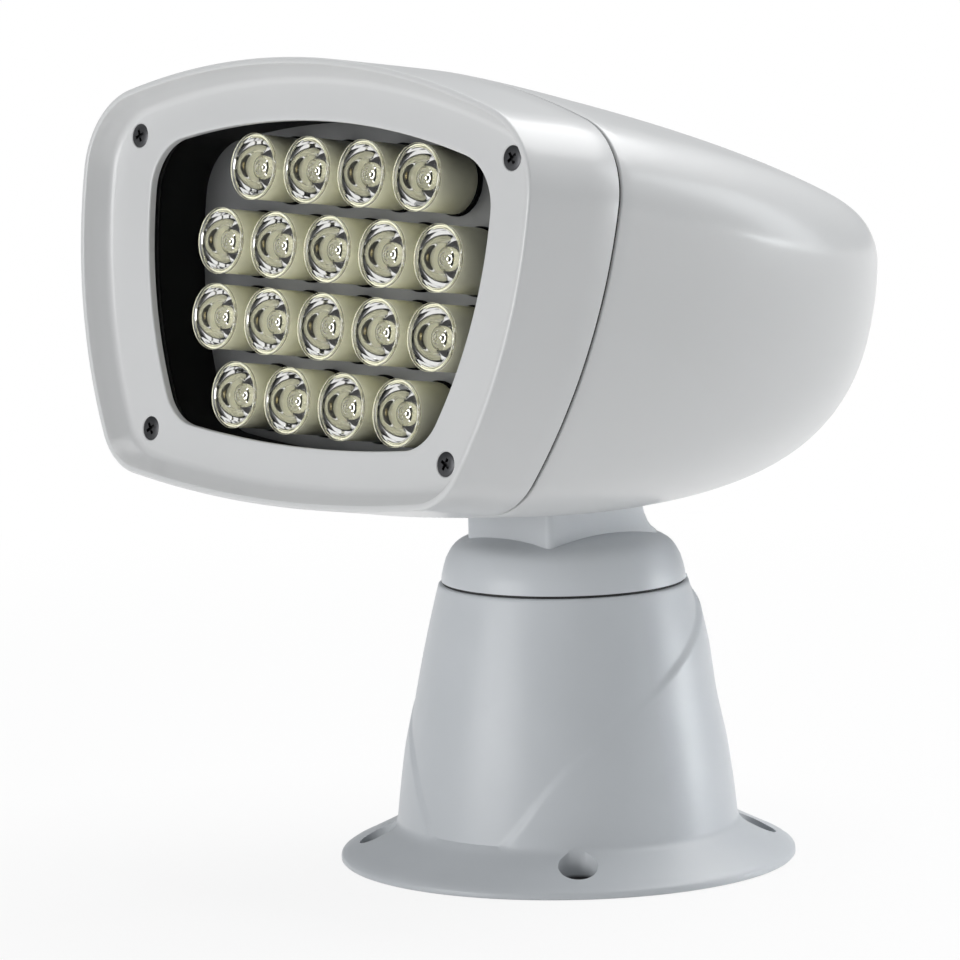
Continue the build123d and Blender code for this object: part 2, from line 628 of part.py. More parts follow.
def rear_housing():
    """Thin bullet-shaped shell, with screw bosses on ribs inside its mouth and the neck slot below."""
    outside, outer_wire = tail_skin(STATIONS, 0.0)
    inside, inner_wire = tail_skin(INNER_STATIONS, HEAD_WALL)
    shell = Solid(Shell(outside + inside + [Face(outer_wire, [inner_wire])]))
    start = SEAM_DEPTH - SEAM_OVERRUN
    length = SEAM_OVERRUN + HOUSING_BOSS_LENGTH
    rib_start, rib_length = FIN_START + 0.6, start + length - FIN_START - 0.6
    within = tail_section(HOUSING_BOSS_LENGTH / TAIL_LENGTH).slab(rib_start, rib_length, HEAD_WALL / 2)
    y0, y1, half_rib = rib_start - FACE_AHEAD, rib_start + rib_length - FACE_AHEAD, RIB_WIDTH / 2
    pieces = []
    for x, z in BEZEL_SCREWS:
        pieces.append(rod(BEZEL_BOSS, start, length, x, z))
        if z > 0:
            near, far = sorted((x, SEAM_HALF if x > 0 else -SEAM_HALF))
            rib = block(near, far, y0, y1, LAMP_Z + z - half_rib, LAMP_Z + z + half_rib)
        else:
            rib = block(x - half_rib, x + half_rib, y0, y1, LAMP_Z - SEAM_BOTTOM, LAMP_Z + z)
        pieces.append(rib & within)
    shell = shell + pieces
    cuts = [slot_block()]
    cuts += [rod(M4[0] + SEATED, start - 1, length - 2, x, z) for x, z in BEZEL_SCREWS]
    return behind_seam(shell - cuts)


def seam_gasket():
    section = rim_section(SEAM_DEPTH)
    ring = section.ring(SEAM_DEPTH - SEAM_OVERRUN, 2 * SEAM_OVERRUN, 1.0, HEAD_WALL)
    ring = split(ring, bisect_by=seam_plane(-SEAM_GAP / 2), keep=Keep.TOP)
    return split(ring, bisect_by=seam_plane(SEAM_GAP / 2), keep=Keep.BOTTOM)


# Tilt yoke, shaft and drive


def tilt_gear_distance():
    return TILT_MODULE * (SECTOR_TEETH + TILT_PINION_TEETH) / 2


def pinion_place():
    return polar(tilt_gear_distance(), TILT_PINION_ANGLE)


def side_plane(x):
    """Plane square to X on the tilt axis: its x runs to the rear and its y runs up."""
    return Plane(origin=(x, 0, TILT_Z), x_dir=(0, 1, 0), z_dir=(1, 0, 0))


def ear(x0, holds_motor):
    front = YOKE_FRONT_Y + YOKE_PLATE / 2
    side = make_face(Polyline((front, -YOKE_BELOW + 4), (front, YOKE_WEB_RISE), (YOKE_REACH, YOKE_WEB_RISE),
                              (YOKE_REACH, 0), (0, -YOKE_EYE), close=True))
    side = side + Circle(YOKE_EYE)
    if holds_motor:
        side = side + Pos(*pinion_place()) * Circle(MOTOR_RADIUS + 2)
        side = side + Polygon((0, YOKE_WEB_RISE), (YOKE_REACH, YOKE_WEB_RISE), pinion_place(), (0, -5), align=None)
        side = side - Pos(*pinion_place()) * Circle(MOTOR_SHAFT + 2.5)
    side = side - Circle(SHAFT_RADIUS + SEATED)
    return extrude(side_plane(x0) * side, YOKE_PLATE, dir=(1, 0, 0))


def tilt_yoke():
    """Bracket that hangs the head on the tilt shaft: a plate on the heat sink, a web and two ears."""
    y0 = YOKE_FRONT_Y
    plate = block(-YOKE_HALF, YOKE_HALF, y0, y0 + YOKE_PLATE, TILT_Z - YOKE_BELOW, LAMP_Z + 9)
    web = block(-LEFT_EAR - YOKE_PLATE, RIGHT_EAR + YOKE_PLATE, y0 + YOKE_PLATE / 2, YOKE_REACH,
                TILT_Z + YOKE_WEB_RISE - 0.5, TILT_Z + YOKE_WEB_RISE + YOKE_PLATE)
    body = plate + web + ear(-LEFT_EAR - YOKE_PLATE, False) + ear(RIGHT_EAR, True)
    cuts = [rod(M4[0] + LOOSE, FIN_END - 1, YOKE_PLATE + 2, x, z) for x, z in YOKE_SCREWS]
    cuts += [post(M3[0] + SEATED, TILT_Z, TILT_Z + 60, x, y) for x, y in DRIVER_SCREWS]
    cuts += [cross_rod(M3[0] + SEATED, RIGHT_EAR - 1, RIGHT_EAR + YOKE_PLATE + 1, y, z)
             for y, z in tilt_motor_holes()]
    return body - cuts


def yoke_screws():
    return [Pos(x, YOKE_FRONT_Y + YOKE_PLATE, LAMP_Z + z) * Rot(-90, 0, 0) * cap_screw(M4, YOKE_PLATE + 10)
            for x, z in YOKE_SCREWS]


DRIVER_Z = TILT_Z + YOKE_WEB_RISE + YOKE_PLATE
DRIVER_HALF = 24.0
DRIVER_LENGTH = 46.0
DRIVER_HEIGHT = 15.0
DRIVER_Y = YOKE_FRONT_Y + YOKE_PLATE + 13
DRIVER_SCREWS = [(0.0, DRIVER_Y + 4), (0.0, DRIVER_Y + DRIVER_LENGTH - 4)]
LUG = 2.5                  # thickness of the driver's fixing lugs


def led_driver():
    """Potted driver module with a cooling-ribbed lid and a lug at each end."""
    y1 = DRIVER_Y + DRIVER_LENGTH
    case = block(-DRIVER_HALF, DRIVER_HALF, DRIVER_Y + 9, y1 - 9, DRIVER_Z, DRIVER_Z + DRIVER_HEIGHT)
    lugs = block(-9, 9, DRIVER_Y, y1, DRIVER_Z, DRIVER_Z + LUG)
    lid, half = DRIVER_Z + DRIVER_HEIGHT, DRIVER_HALF - 4
    ribs = [block(-half, half, DRIVER_Y + step - 0.8, DRIVER_Y + step + 0.8, lid, lid + 1.5)
            for step in (15, 20, 25, 30)]
    holes = [post(M3[0] + LOOSE, DRIVER_Z - 1, DRIVER_Z + LUG + 1, x, y) for x, y in DRIVER_SCREWS]
    return (case + lugs + ribs) - holes


def driver_screws():
    return [Pos(x, y, DRIVER_Z + LUG) * cap_screw(M3, LUG + YOKE_PLATE) for x, y in DRIVER_SCREWS]


def tilt_shaft():
    end = YOKE_PLATE + SHAFT_END
    return cross_rod(SHAFT_RADIUS, -LEFT_EAR - end, RIGHT_EAR + end)


def shaft_clips():
    clips = []
    for x in (-LEFT_EAR - YOKE_PLATE - CLIP_THICKNESS, RIGHT_EAR + YOKE_PLATE):
        clips.append(cross_rod(CLIP_RADIUS, x, x + CLIP_THICKNESS) - cross_rod(SHAFT_RADIUS + SEATED, x - 1, x + 3))
    return clips


def tilt_motor_holes():
    y, z = pinion_place()
    return [(y + dy, z + dz) for dy, dz in ((6.0, 4.0), (-6.0, -4.0))]


def tilt_motor():
    """Gear motor on the drive-side ear: gearbox, motor can and end cap, bored for its output shaft."""
    y, z = pinion_place()
    x0 = RIGHT_EAR + YOKE_PLATE
    gearbox = cross_rod(MOTOR_RADIUS, x0, x0 + TILT_MOTOR_LENGTH * 0.4, y, z)
    can = cross_rod(MOTOR_RADIUS - 1.2, x0 + TILT_MOTOR_LENGTH * 0.4, x0 + TILT_MOTOR_LENGTH, y, z)
    cap = cross_rod(4.5, x0 + TILT_MOTOR_LENGTH, x0 + TILT_MOTOR_LENGTH + 2.5, y, z)
    spigot = cross_rod(MOTOR_SHAFT + 2.3, RIGHT_EAR + 0.5, x0 + 1, y, z)
    holes = [cross_rod(M3[0] + SEATED, x0 - 1, x0 + 7, hy, hz) for hy, hz in tilt_motor_holes()]
    return (gearbox + can + cap + spigot) - holes - cross_rod(MOTOR_SHAFT + RUNNING, RIGHT_EAR - 1, x0 + 12, y, z)


def tilt_motor_screws():
    return [Pos(RIGHT_EAR, y, TILT_Z + z) * Rot(0, -90, 0) * cap_screw((M3[0], 2.4, 1.2), YOKE_PLATE + 5)
            for y, z in tilt_motor_holes()]


def tilt_pinion():
    y, z = pinion_place()
    phase = TILT_PINION_ANGLE + 180 + 180 / TILT_PINION_TEETH
    face = side_plane(NECK_HALF + 0.8) * (Pos(y, z) * full_gear(TILT_PINION_TEETH, TILT_MODULE, phase))
    wheel = extrude(face, SECTOR_WIDTH + 0.4, dir=(1, 0, 0))
    return wheel + cross_rod(MOTOR_SHAFT, NECK_HALF + 0.8, RIGHT_EAR + YOKE_PLATE + 11, y, z)


# Turret


def tilt_sector():
    """Toothed sector fixed on the neck: the head's pinion walks round it."""
    aim = TILT_PINION_ANGLE - REST_PITCH
    step = 360 / SECTOR_TEETH
    first, last = ceil((SECTOR_SPAN[0] - aim) / step), int((SECTOR_SPAN[1] - aim) / step)
    teeth = gear_points(SECTOR_TEETH, TILT_MODULE, first, last, aim)
    face = make_face(Polyline(*teeth, (0, 0), close=True)) + Circle(SECTOR_HUB)
    face = face - Circle(SHAFT_RADIUS + 0.5)
    for y, z in sector_holes():
        face = face - Pos(y, z) * Circle(M3[0] + LOOSE)
    return extrude(side_plane(NECK_HALF) * face, SECTOR_WIDTH, dir=(1, 0, 0))


def sector_holes():
    return [polar(9.5, angle) for angle in (80, 200, 320)]


def sector_screws():
    return [Pos(NECK_HALF + SECTOR_WIDTH, y, TILT_Z + z) * Rot(0, 90, 0)
            * cap_screw((M3[0], 2.4, 1.5), SECTOR_WIDTH + NECK_WALL - 1) for y, z in sector_holes()]


def tilt_bushes():
    bushes = []
    for side in (1, -1):
        inner, outer = side * (NECK_HALF - NECK_WALL - BUSH_FLANGE), side * NECK_HALF
        bush = cross_rod(SHAFT_RADIUS + BUSH_WALL, inner, outer)
        bush = bush + cross_rod(SHAFT_RADIUS + BUSH_WALL + 2, inner, inner + side * BUSH_FLANGE)
        bushes.append(bush - cross_rod(SHAFT_RADIUS + RUNNING, side * 5, side * 30))
    return bushes


def turret_housing():
    """Domed cap and hollow neck in one casting, with a boss below for the spindle's flange."""
    rim, shoulder = (CAP_RADIUS, CAP_Z), (CAP_RADIUS - CAP_WALL_INSET, CAP_Z + CAP_SHOULDER_RISE)
    crown, top = (CAP_RADIUS - CAP_CROWN_INSET, CAP_CROWN_Z), (0, CAP_Z + CAP_TOP_RISE)
    dome = make_face([Line((0, CAP_Z), rim), bulged(rim, shoulder, CAP_BULGES[0]),
                      bulged(shoulder, crown, CAP_BULGES[1]), bulged(crown, top, CAP_BULGES[2]),
                      Line(top, (0, CAP_Z))])
    body = revolve(Plane.XZ * dome, Axis.Z)
    plan = RectangleRounded(2 * NECK_HALF, NECK_FRONT + NECK_REAR, NECK_CORNER)
    y_mid = (NECK_REAR - NECK_FRONT) / 2
    neck = Pos(0, y_mid, CAP_CROWN_Z - 8) * extrude(plan, TILT_Z + NECK_CROWN - CAP_CROWN_Z + 8)
    shape = make_face(Polyline((-NECK_FRONT, -60), (-NECK_FRONT, -4), (-NECK_CROWN, 0), (0, 0), (NECK_CROWN, 0),
                               (NECK_REAR + 1, -4), (NECK_REAR + 1, -60), close=True)) + Circle(NECK_CROWN)
    neck = neck & extrude(side_plane(-NECK_HALF - 1) * shape, 2 * NECK_HALF + 2, dir=(1, 0, 0))
    start, end = (NECK_REAR, CAP_CROWN_Z + FLARE_RISE), (NECK_REAR + NECK_FLARE, CAP_CROWN_Z + 1)
    flare = make_face([bulged(start, end, FLARE_HOLLOW),
                       Polyline(end, (end[0], CAP_CROWN_Z - 10), (NECK_REAR - 3, CAP_CROWN_Z - 10),
                                (NECK_REAR - 3, start[1]), start)])
    toe = extrude(Plane.YZ * flare, NECK_HALF - NECK_CORNER, both=True)
    body = body + neck + toe
    inner = make_face(Polyline((0, CAP_Z - 1), (CAP_RADIUS - TURRET_WALL, CAP_Z - 1),
                               (shoulder[0] - TURRET_WALL, shoulder[1] - 2),
                               (crown[0] - 2, CAP_CROWN_Z - TURRET_WALL), (0, CAP_CROWN_Z - TURRET_WALL),
                               close=True))
    body = body - revolve(Plane.XZ * inner, Axis.Z)
    flange_top = BEARING_TOP_Z + BUSH_FLANGE + SPINDLE_FLANGE_THICKNESS
    body = body + post(TURRET_BOSS_RADIUS, flange_top, CAP_CROWN_Z - TURRET_WALL + 1)
    cavity_half = NECK_HALF - NECK_WALL
    cavity = block(-cavity_half, cavity_half, -NECK_FRONT + NECK_WALL, NECK_REAR - NECK_WALL,
                   CAP_CROWN_Z + 3, TILT_Z - SHAFT_RADIUS - BUSH_WALL - 2.5)
    upper = cross_rod(NECK_CROWN - NECK_WALL, -cavity_half, cavity_half)
    cuts = [cavity, upper, post(SPINDLE_BORE, flange_top - 1, top[1] + 5),
            cross_rod(SHAFT_RADIUS + BUSH_WALL + SEATED, -NECK_HALF - 1, NECK_HALF + 1),
            Pos(0, NECK_REAR, TILT_Z - 13) * Rot(90, 0, 0) * Cylinder(4.0, 14)]
    cuts += [cross_rod(M3[0] + SEATED, cavity_half - 1, NECK_HALF + 1, y, z) for y, z in sector_holes()]
    for angle in SPINDLE_ANGLES:
        x, y = polar(SPINDLE_SCREW_CIRCLE, angle)
        cuts.append(post(M4[0] + SEATED, flange_top - 1, flange_top + 12, x, y))
    return body - cuts


SPINDLE_ANGLES = (30, 120, 210, 300)


def pan_spindle():
    """Hollow spindle: the lead to the head passes up its bore."""
    flange_z = BEARING_TOP_Z + BUSH_FLANGE
    bottom = gear_bottom() - NUT_HEIGHT - 0.5
    body = post(SPINDLE_RADIUS, bottom, flange_z + 1)
    body = body + post(SPINDLE_FLANGE, flange_z, flange_z + SPINDLE_FLANGE_THICKNESS)
    body = body - post(SPINDLE_BORE, bottom - 1, flange_z + 10)
    for angle in SPINDLE_ANGLES:
        x, y = polar(SPINDLE_SCREW_CIRCLE, angle)
        body = body - post(M4[0] + LOOSE, flange_z - 1, flange_z + 5, x, y)
    return body


def spindle_screws():
    flange_z = BEARING_TOP_Z + BUSH_FLANGE
    return [Pos(*polar(SPINDLE_SCREW_CIRCLE, angle), flange_z) * Rot(180, 0, 0)
            * cap_screw(M4, SPINDLE_FLANGE_THICKNESS + 9) for angle in SPINDLE_ANGLES]


def gear_bottom():
    return BEARING_BOTTOM_Z - BUSH_FLANGE - PAN_GEAR_HUB - PAN_GEAR_WIDTH


def pan_gear():
    face = full_gear(PAN_GEAR_TEETH, PAN_MODULE, PAN_MOTOR_ANGLE) - Circle(SPINDLE_RADIUS + SEATED)
    for angle in range(0, 360, 60):
        face = face - Pos(*polar(14.6, angle)) * Circle(3.0)
    wheel = Pos(0, 0, gear_bottom()) * extrude(face, PAN_GEAR_WIDTH)
    hub = extrude(Circle(SPINDLE_RADIUS + 2.2) - Circle(SPINDLE_RADIUS + SEATED), PAN_GEAR_WIDTH + PAN_GEAR_HUB)
    return wheel + Pos(0, 0, gear_bottom()) * hub


def spindle_nut():
    face = RegularPolygon(NUT_WIDTH / 2, 6, major_radius=False) - Circle(SPINDLE_RADIUS + SEATED)
    return Pos(0, 0, gear_bottom() - NUT_HEIGHT) * extrude(face, NUT_HEIGHT)


# Base


def pan_bushes():
    bushes = []
    for z0, z1, lip in ((BEARING_TOP_Z - PAN_BUSH_LENGTH, BEARING_TOP_Z, 1),
                        (BEARING_BOTTOM_Z, BEARING_BOTTOM_Z + PAN_BUSH_LENGTH, -1)):
        bush = post(SPINDLE_RADIUS + PAN_BUSH_WALL, z0, z1)
        seat = z1 if lip > 0 else z0
        bush = bush + post(SPINDLE_RADIUS + PAN_BUSH_WALL + 2, seat, seat + lip * BUSH_FLANGE)
        bushes.append(bush - post(SPINDLE_RADIUS + RUNNING, z0 - 5, z1 + 5))
    return bushes


def cone_radius(z):
    """Outer radius of the plain cone at a height."""
    share = (CONE_TOP_Z - z) / (CONE_TOP_Z - CONE_FOOT_Z)
    straight = CONE_TOP_RADIUS + (CONE_FOOT_RADIUS - CONE_TOP_RADIUS) * share
    return straight + 4 * CONE_BULGE * share * (1 - share)


POST_CIRCLE = cone_radius(GEAR_PLATE_Z) - BASE_WALL - POST_RADIUS + POST_BITE


def base_housing():
    """Conical base with its bolted flange, two slanted lapel steps, a bearing web and post bosses inside."""
    foot, top = (CONE_FOOT_RADIUS, CONE_FOOT_Z), (CONE_TOP_RADIUS, CONE_TOP_Z)
    slope = (foot[0] + FOOT_STEP[0], foot[1] - FOOT_STEP[1])
    edge = (FLANGE_RADIUS - EDGE_STEP[0], FLANGE_EDGE + EDGE_STEP[1])
    flange = Polyline((0, top[1]), (0, 0), (FLANGE_RADIUS, 0), (FLANGE_RADIUS, FLANGE_EDGE), edge, slope, foot)
    outer = make_face([flange, bulged(foot, top, CONE_BULGE), Line(top, (0, top[1]))])
    body = revolve(Plane.XZ * outer, Axis.Z)
    lapel_foot, lapel_top = (foot[0] + LAPEL_FOOT, foot[1]), (top[0] + LAPEL_TOP, top[1])
    within, below_foot = top[0] - 2, foot[1] - 4
    lapel = make_face([bulged(lapel_foot, lapel_top, LAPEL_BULGE),
                       Polyline(lapel_top, (within, top[1]), (within, below_foot), (lapel_foot[0], below_foot),
                                lapel_foot)])
    far, high, (line_start, line_end) = FLANGE_RADIUS + 2, LAPEL_LINE[-1][1], (LAPEL_LINE[0], LAPEL_LINE[-1])
    below = make_face([Spline(*LAPEL_LINE),
                       Polyline(line_end, (far, high), (far, 0), (line_start[0], 0), line_start)])
    raised = revolve(Plane.XZ * lapel, Axis.Z) & extrude(Plane.YZ * below, FLANGE_RADIUS, both=True)
    body = body + raised
    hollow = [(0, -1), (BASE_BORE, -1), (BASE_BORE, BASE_PLATE_Z + BASE_PLATE_THICKNESS)]
    hollow += [(cone_radius(z) - BASE_WALL, z) for z in (18.0, 40.0, 60.0, WEB_Z)]
    hollow += [(0, WEB_Z)]
    body = body - revolve(Plane.XZ * make_face(Polyline(*hollow, close=True)), Axis.Z)
    cup = [(0, WEB_Z + WEB_THICKNESS), (cone_radius(WEB_Z + WEB_THICKNESS) - BASE_WALL, WEB_Z + WEB_THICKNESS),
           (CONE_TOP_RADIUS - BASE_WALL, CONE_TOP_Z + 1), (0, CONE_TOP_Z + 1)]
    body = body - revolve(Plane.XZ * make_face(Polyline(*cup, close=True)), Axis.Z)
    tube = SPINDLE_RADIUS + PAN_BUSH_WALL
    body = body + post(tube + BEARING_WALL, BEARING_BOTTOM_Z, BEARING_TOP_Z)
    post_floor = BASE_PLATE_Z + BASE_PLATE_THICKNESS
    posts = [post(POST_RADIUS, post_floor, GEAR_PLATE_Z, *polar(POST_CIRCLE, angle)) for angle in POST_ANGLES]
    skin = revolve(Plane.XZ * make_face(Polyline((0, post_floor), (cone_radius(post_floor) - 0.6, post_floor),
                                                 (cone_radius(GEAR_PLATE_Z) - 0.6, GEAR_PLATE_Z),
                                                 (0, GEAR_PLATE_Z), close=True)), Axis.Z)
    body = body + [each & skin for each in posts]
    cuts = [post(tube + SEATED, BEARING_BOTTOM_Z - 2, BEARING_TOP_Z + 2)]
    for angle in POST_ANGLES:
        x, y = polar(POST_CIRCLE, angle)
        cuts.append(post(M3[0] + SEATED, post_floor - 1, GEAR_PLATE_Z + 1, x, y))
    for index in range(4):
        x, y = polar(BOLT_CIRCLE, BOLT_START - 90 + 90 * index)
        cuts.append(post(BOLT_HOLE, -1, BOLT_FLOOR_Z + 1, x, y))
        cuts.append(post(BOLT_SINK, BOLT_FLOOR_Z, BOLT_FLOOR_Z + 20, x, y))
    groove = extrude(Circle(GASKET_RADIUS + GASKET_WIDTH / 2) - Circle(GASKET_RADIUS - GASKET_WIDTH / 2),
                     GASKET_THICKNESS)
    cuts.append(groove)
    return body - cuts


POST_ANGLES = (30, 150, 270)


def mounting_gasket():
    return extrude(Circle(GASKET_RADIUS + GASKET_WIDTH / 2) - Circle(GASKET_RADIUS - GASKET_WIDTH / 2),
                   GASKET_THICKNESS)


def turret_seal():
    outer, inner = CONE_TOP_RADIUS - 1.4, CONE_TOP_RADIUS - BASE_WALL
    return Pos(0, 0, CONE_TOP_Z) * extrude(Circle(outer) - Circle(inner), CAP_GAP - SEAL_LIFT)


def pan_gear_distance():
    return PAN_MODULE * (PAN_GEAR_TEETH + PAN_PINION_TEETH) / 2


def pan_motor_place():
    return polar(pan_gear_distance(), PAN_MOTOR_ANGLE - BASE_TURN)


def pan_motor_holes():
    x, y = pan_motor_place()
    return [(x + 7.5, y), (x - 7.5, y)]


def gear_plate():
    """Round plate on the posts: it carries the pan motor and clears the spindle nut."""
    rim = cone_radius(GEAR_PLATE_Z + GEAR_PLATE_THICKNESS) - BASE_WALL - 0.6
    face = Circle(rim) - Circle(NUT_WIDTH / 2 + 3)
    face = face - Pos(*pan_motor_place()) * Circle(MOTOR_SHAFT + 2.5)
    for x, y in pan_motor_holes():
        face = face - Pos(x, y) * Circle(M3[0] + LOOSE)
    for angle in POST_ANGLES:
        face = face - Pos(*polar(POST_CIRCLE - 1.0, angle)) * Circle(M3[0] + LOOSE + 1.0)
    return Pos(0, 0, GEAR_PLATE_Z) * extrude(face, GEAR_PLATE_THICKNESS)


def gear_plate_screws():
    z = GEAR_PLATE_Z + GEAR_PLATE_THICKNESS
    return [Pos(*polar(POST_CIRCLE, angle), z) * cap_screw((M3[0], 2.4, 2.0), GEAR_PLATE_THICKNESS + 9)
            for angle in POST_ANGLES]


def pan_motor():
    x, y = pan_motor_place()
    top = GEAR_PLATE_Z
    body = post(MOTOR_RADIUS, top - PAN_MOTOR_LENGTH * 0.4, top, x, y)
    body = body + post(MOTOR_RADIUS - 1.2, top - PAN_MOTOR_LENGTH, top - PAN_MOTOR_LENGTH * 0.4, x, y)
    body = body + post(MOTOR_SHAFT + 2.3, top - 1, top + GEAR_PLATE_THICKNESS, x, y)
    holes = [post(M3[0] + SEATED, top - 7, top + 1, hx, hy) for hx, hy in pan_motor_holes()]
    return body - holes - post(MOTOR_SHAFT + RUNNING, top - 10, top + GEAR_PLATE_THICKNESS + 1, x, y)


def pan_motor_screws():
    z = GEAR_PLATE_Z + GEAR_PLATE_THICKNESS
    return [Pos(x, y, z) * cap_screw((M3[0], 2.4, 2.0), GEAR_PLATE_THICKNESS + 5) for x, y in pan_motor_holes()]


def pan_pinion():
    x, y = pan_motor_place()
    phase = PAN_MOTOR_ANGLE - BASE_TURN + 180 + 180 / PAN_PINION_TEETH
    wheel = Pos(x, y, gear_bottom() - 0.5) * extrude(full_gear(PAN_PINION_TEETH, PAN_MODULE, phase),
                                                     PAN_GEAR_WIDTH + 0.9)
    return wheel + post(MOTOR_SHAFT, GEAR_PLATE_Z - 9, gear_bottom() + PAN_GEAR_WIDTH + 0.4, x, y)


def base_plate():
    rim = BASE_BORE - MOUTH_SEAL
    face = Circle(rim) - Pos(*GLAND_AT) * Circle(GLAND_RADIUS - 2 + LOOSE)
    for angle in POST_ANGLES:
        face = face - Pos(*polar(POST_CIRCLE - 1.0, angle)) * Circle(M3[0] + LOOSE + 1.0)
    plate = Pos(0, 0, BASE_PLATE_Z) * extrude(face, BASE_PLATE_THICKNESS)
    for x, y in board_posts():
        plate = plate + post(2.6, BASE_PLATE_Z + BASE_PLATE_THICKNESS, BOARD_Z, x, y)
    return plate - [post(M3[0] - 0.2 + SEATED, BASE_PLATE_Z + 1.2, BOARD_Z + 1, x, y) for x, y in board_posts()]


BOARD_Z = BASE_PLATE_Z + BASE_PLATE_THICKNESS + 5


def board_posts():
    (w, d), (x, y) = BOARD_SIZE, BOARD_AT
    return [(x + sx * (w / 2 - 4), y + sy * (d / 2 - 4)) for sx in (1, -1) for sy in (1, -1)]


def control_board():
    """Circuit board of the drive electronics, with a few of its larger components."""
    (w, d), (x, y) = BOARD_SIZE, BOARD_AT
    top = BOARD_Z + BOARD_THICKNESS
    board = block(x - w / 2, x + w / 2, y - d / 2, y + d / 2, BOARD_Z, top)
    board = board + [block(x - 6, x + 6, y - 5, y + 5, top, top + 1.8), post(3.0, top, top + 7, x - 14, y - 6),
                     block(x + 11, x + 20, y - 4, y + 4, top, top + 6)]
    return board - [post(M3[0] - 0.2 + LOOSE, BOARD_Z - 1, top + 1, px, py) for px, py in board_posts()]


def board_screws():
    z = BOARD_Z + BOARD_THICKNESS
    return [Pos(x, y, z) * cap_screw((M3[0] - 0.2, 2.2, 1.6), BOARD_THICKNESS + 4.5) for x, y in board_posts()]


def base_seal():
    face = Circle(BASE_BORE) - Circle(BASE_BORE - MOUTH_SEAL)
    return Pos(0, 0, BASE_PLATE_Z + 0.5) * extrude(face, BASE_PLATE_THICKNESS - 0.5)


def base_plate_screws():
    return [Pos(*polar(POST_CIRCLE, angle), BASE_PLATE_Z) * Rot(180, 0, 0)
            * cap_screw((M3[0], 2.4, 2.0), BASE_PLATE_THICKNESS + 9) for angle in POST_ANGLES]


def cable_gland():
    """Hollow gland that the supply lead comes in through, with a hexagon below the closing plate."""
    x, y = GLAND_AT
    z0, z1 = BASE_PLATE_Z, BASE_PLATE_Z + BASE_PLATE_THICKNESS
    hexagon = Pos(x, y, z0 - 5) * extrude(RegularPolygon(GLAND_RADIUS, 6), 5)
    stem = post(GLAND_RADIUS - 2, z0 - 1, z1 + 6, x, y)
    return (hexagon + stem) - post(GLAND_BORE, z0 - 10, z1 + 10, x, y)


def gland_nut():
    x, y = GLAND_AT
    z1 = BASE_PLATE_Z + BASE_PLATE_THICKNESS
    nut = Pos(x, y, z1) * extrude(RegularPolygon(GLAND_RADIUS, 6), 3.5)
    return nut - post(GLAND_RADIUS - 2 + SEATED, z1 - 1, z1 + 5, x, y)


HEAD = {
    "front_frame": front_frame, "bezel_screws": bezel_screws, "window_glass": window_glass,
    "window_gasket": window_gasket, "inner_shroud": inner_shroud, "led_plate": led_plate,
    "led_emitters": led_emitters, "collimator_lenses": collimator_lenses, "reflectors": reflectors,
    "reflector_holders": reflector_holders,
    "heat_sink": heat_sink, "plate_screws": plate_screws, "rear_housing": rear_housing,
    "seam_gasket": seam_gasket, "tilt_yoke": tilt_yoke, "yoke_screws": yoke_screws, "led_driver": led_driver,
    "driver_screws": driver_screws, "tilt_shaft": tilt_shaft, "shaft_clips": shaft_clips,
    "tilt_motor": tilt_motor, "tilt_motor_screws": tilt_motor_screws, "tilt_pinion": tilt_pinion}
TURRET = {
    "turret_housing": turret_housing, "tilt_bushes": tilt_bushes, "tilt_sector": tilt_sector,
    "sector_screws": sector_screws, "pan_spindle": pan_spindle, "spindle_screws": spindle_screws,
    "pan_gear": pan_gear, "spindle_nut": spindle_nut}
BASE = {
    "base_housing": base_housing, "pan_bushes": pan_bushes, "turret_seal": turret_seal,
    "gear_plate": gear_plate, "gear_plate_screws": gear_plate_screws, "pan_motor": pan_motor,
    "pan_motor_screws": pan_motor_screws, "pan_pinion": pan_pinion, "base_plate": base_plate,
    "base_seal": base_seal, "base_plate_screws": base_plate_screws, "cable_gland": cable_gland,
    "gland_nut": gland_nut, "control_board": control_board, "board_screws": board_screws,
    "mounting_gasket": mounting_gasket}


def solids_of(made):
    """One compound of separate solids, from a solid, a part or a list of them."""
    pieces = made if isinstance(made, list) else [made]
    return Compound([solid for piece in pieces for solid in piece.solids()])


def main():
    os.makedirs("parts", exist_ok=True)
    tilt_axis = Axis((0, 0, TILT_Z), (1, 0, 0))
    for name, make in HEAD.items():
        export_step(solids_of(make()).rotate(tilt_axis, -REST_PITCH), f"parts/{name}.step")
    for name, make in TURRET.items():
        export_step(solids_of(make()), f"parts/{name}.step")
    for name, make in BASE.items():
        export_step(solids_of(make()).rotate(Axis.Z, BASE_TURN), f"parts/{name}.step")


main()
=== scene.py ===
from math import atan2, cos, hypot, pi, radians, sin, sqrt, tan

import bmesh
import bpy
from mathutils import Matrix, Vector


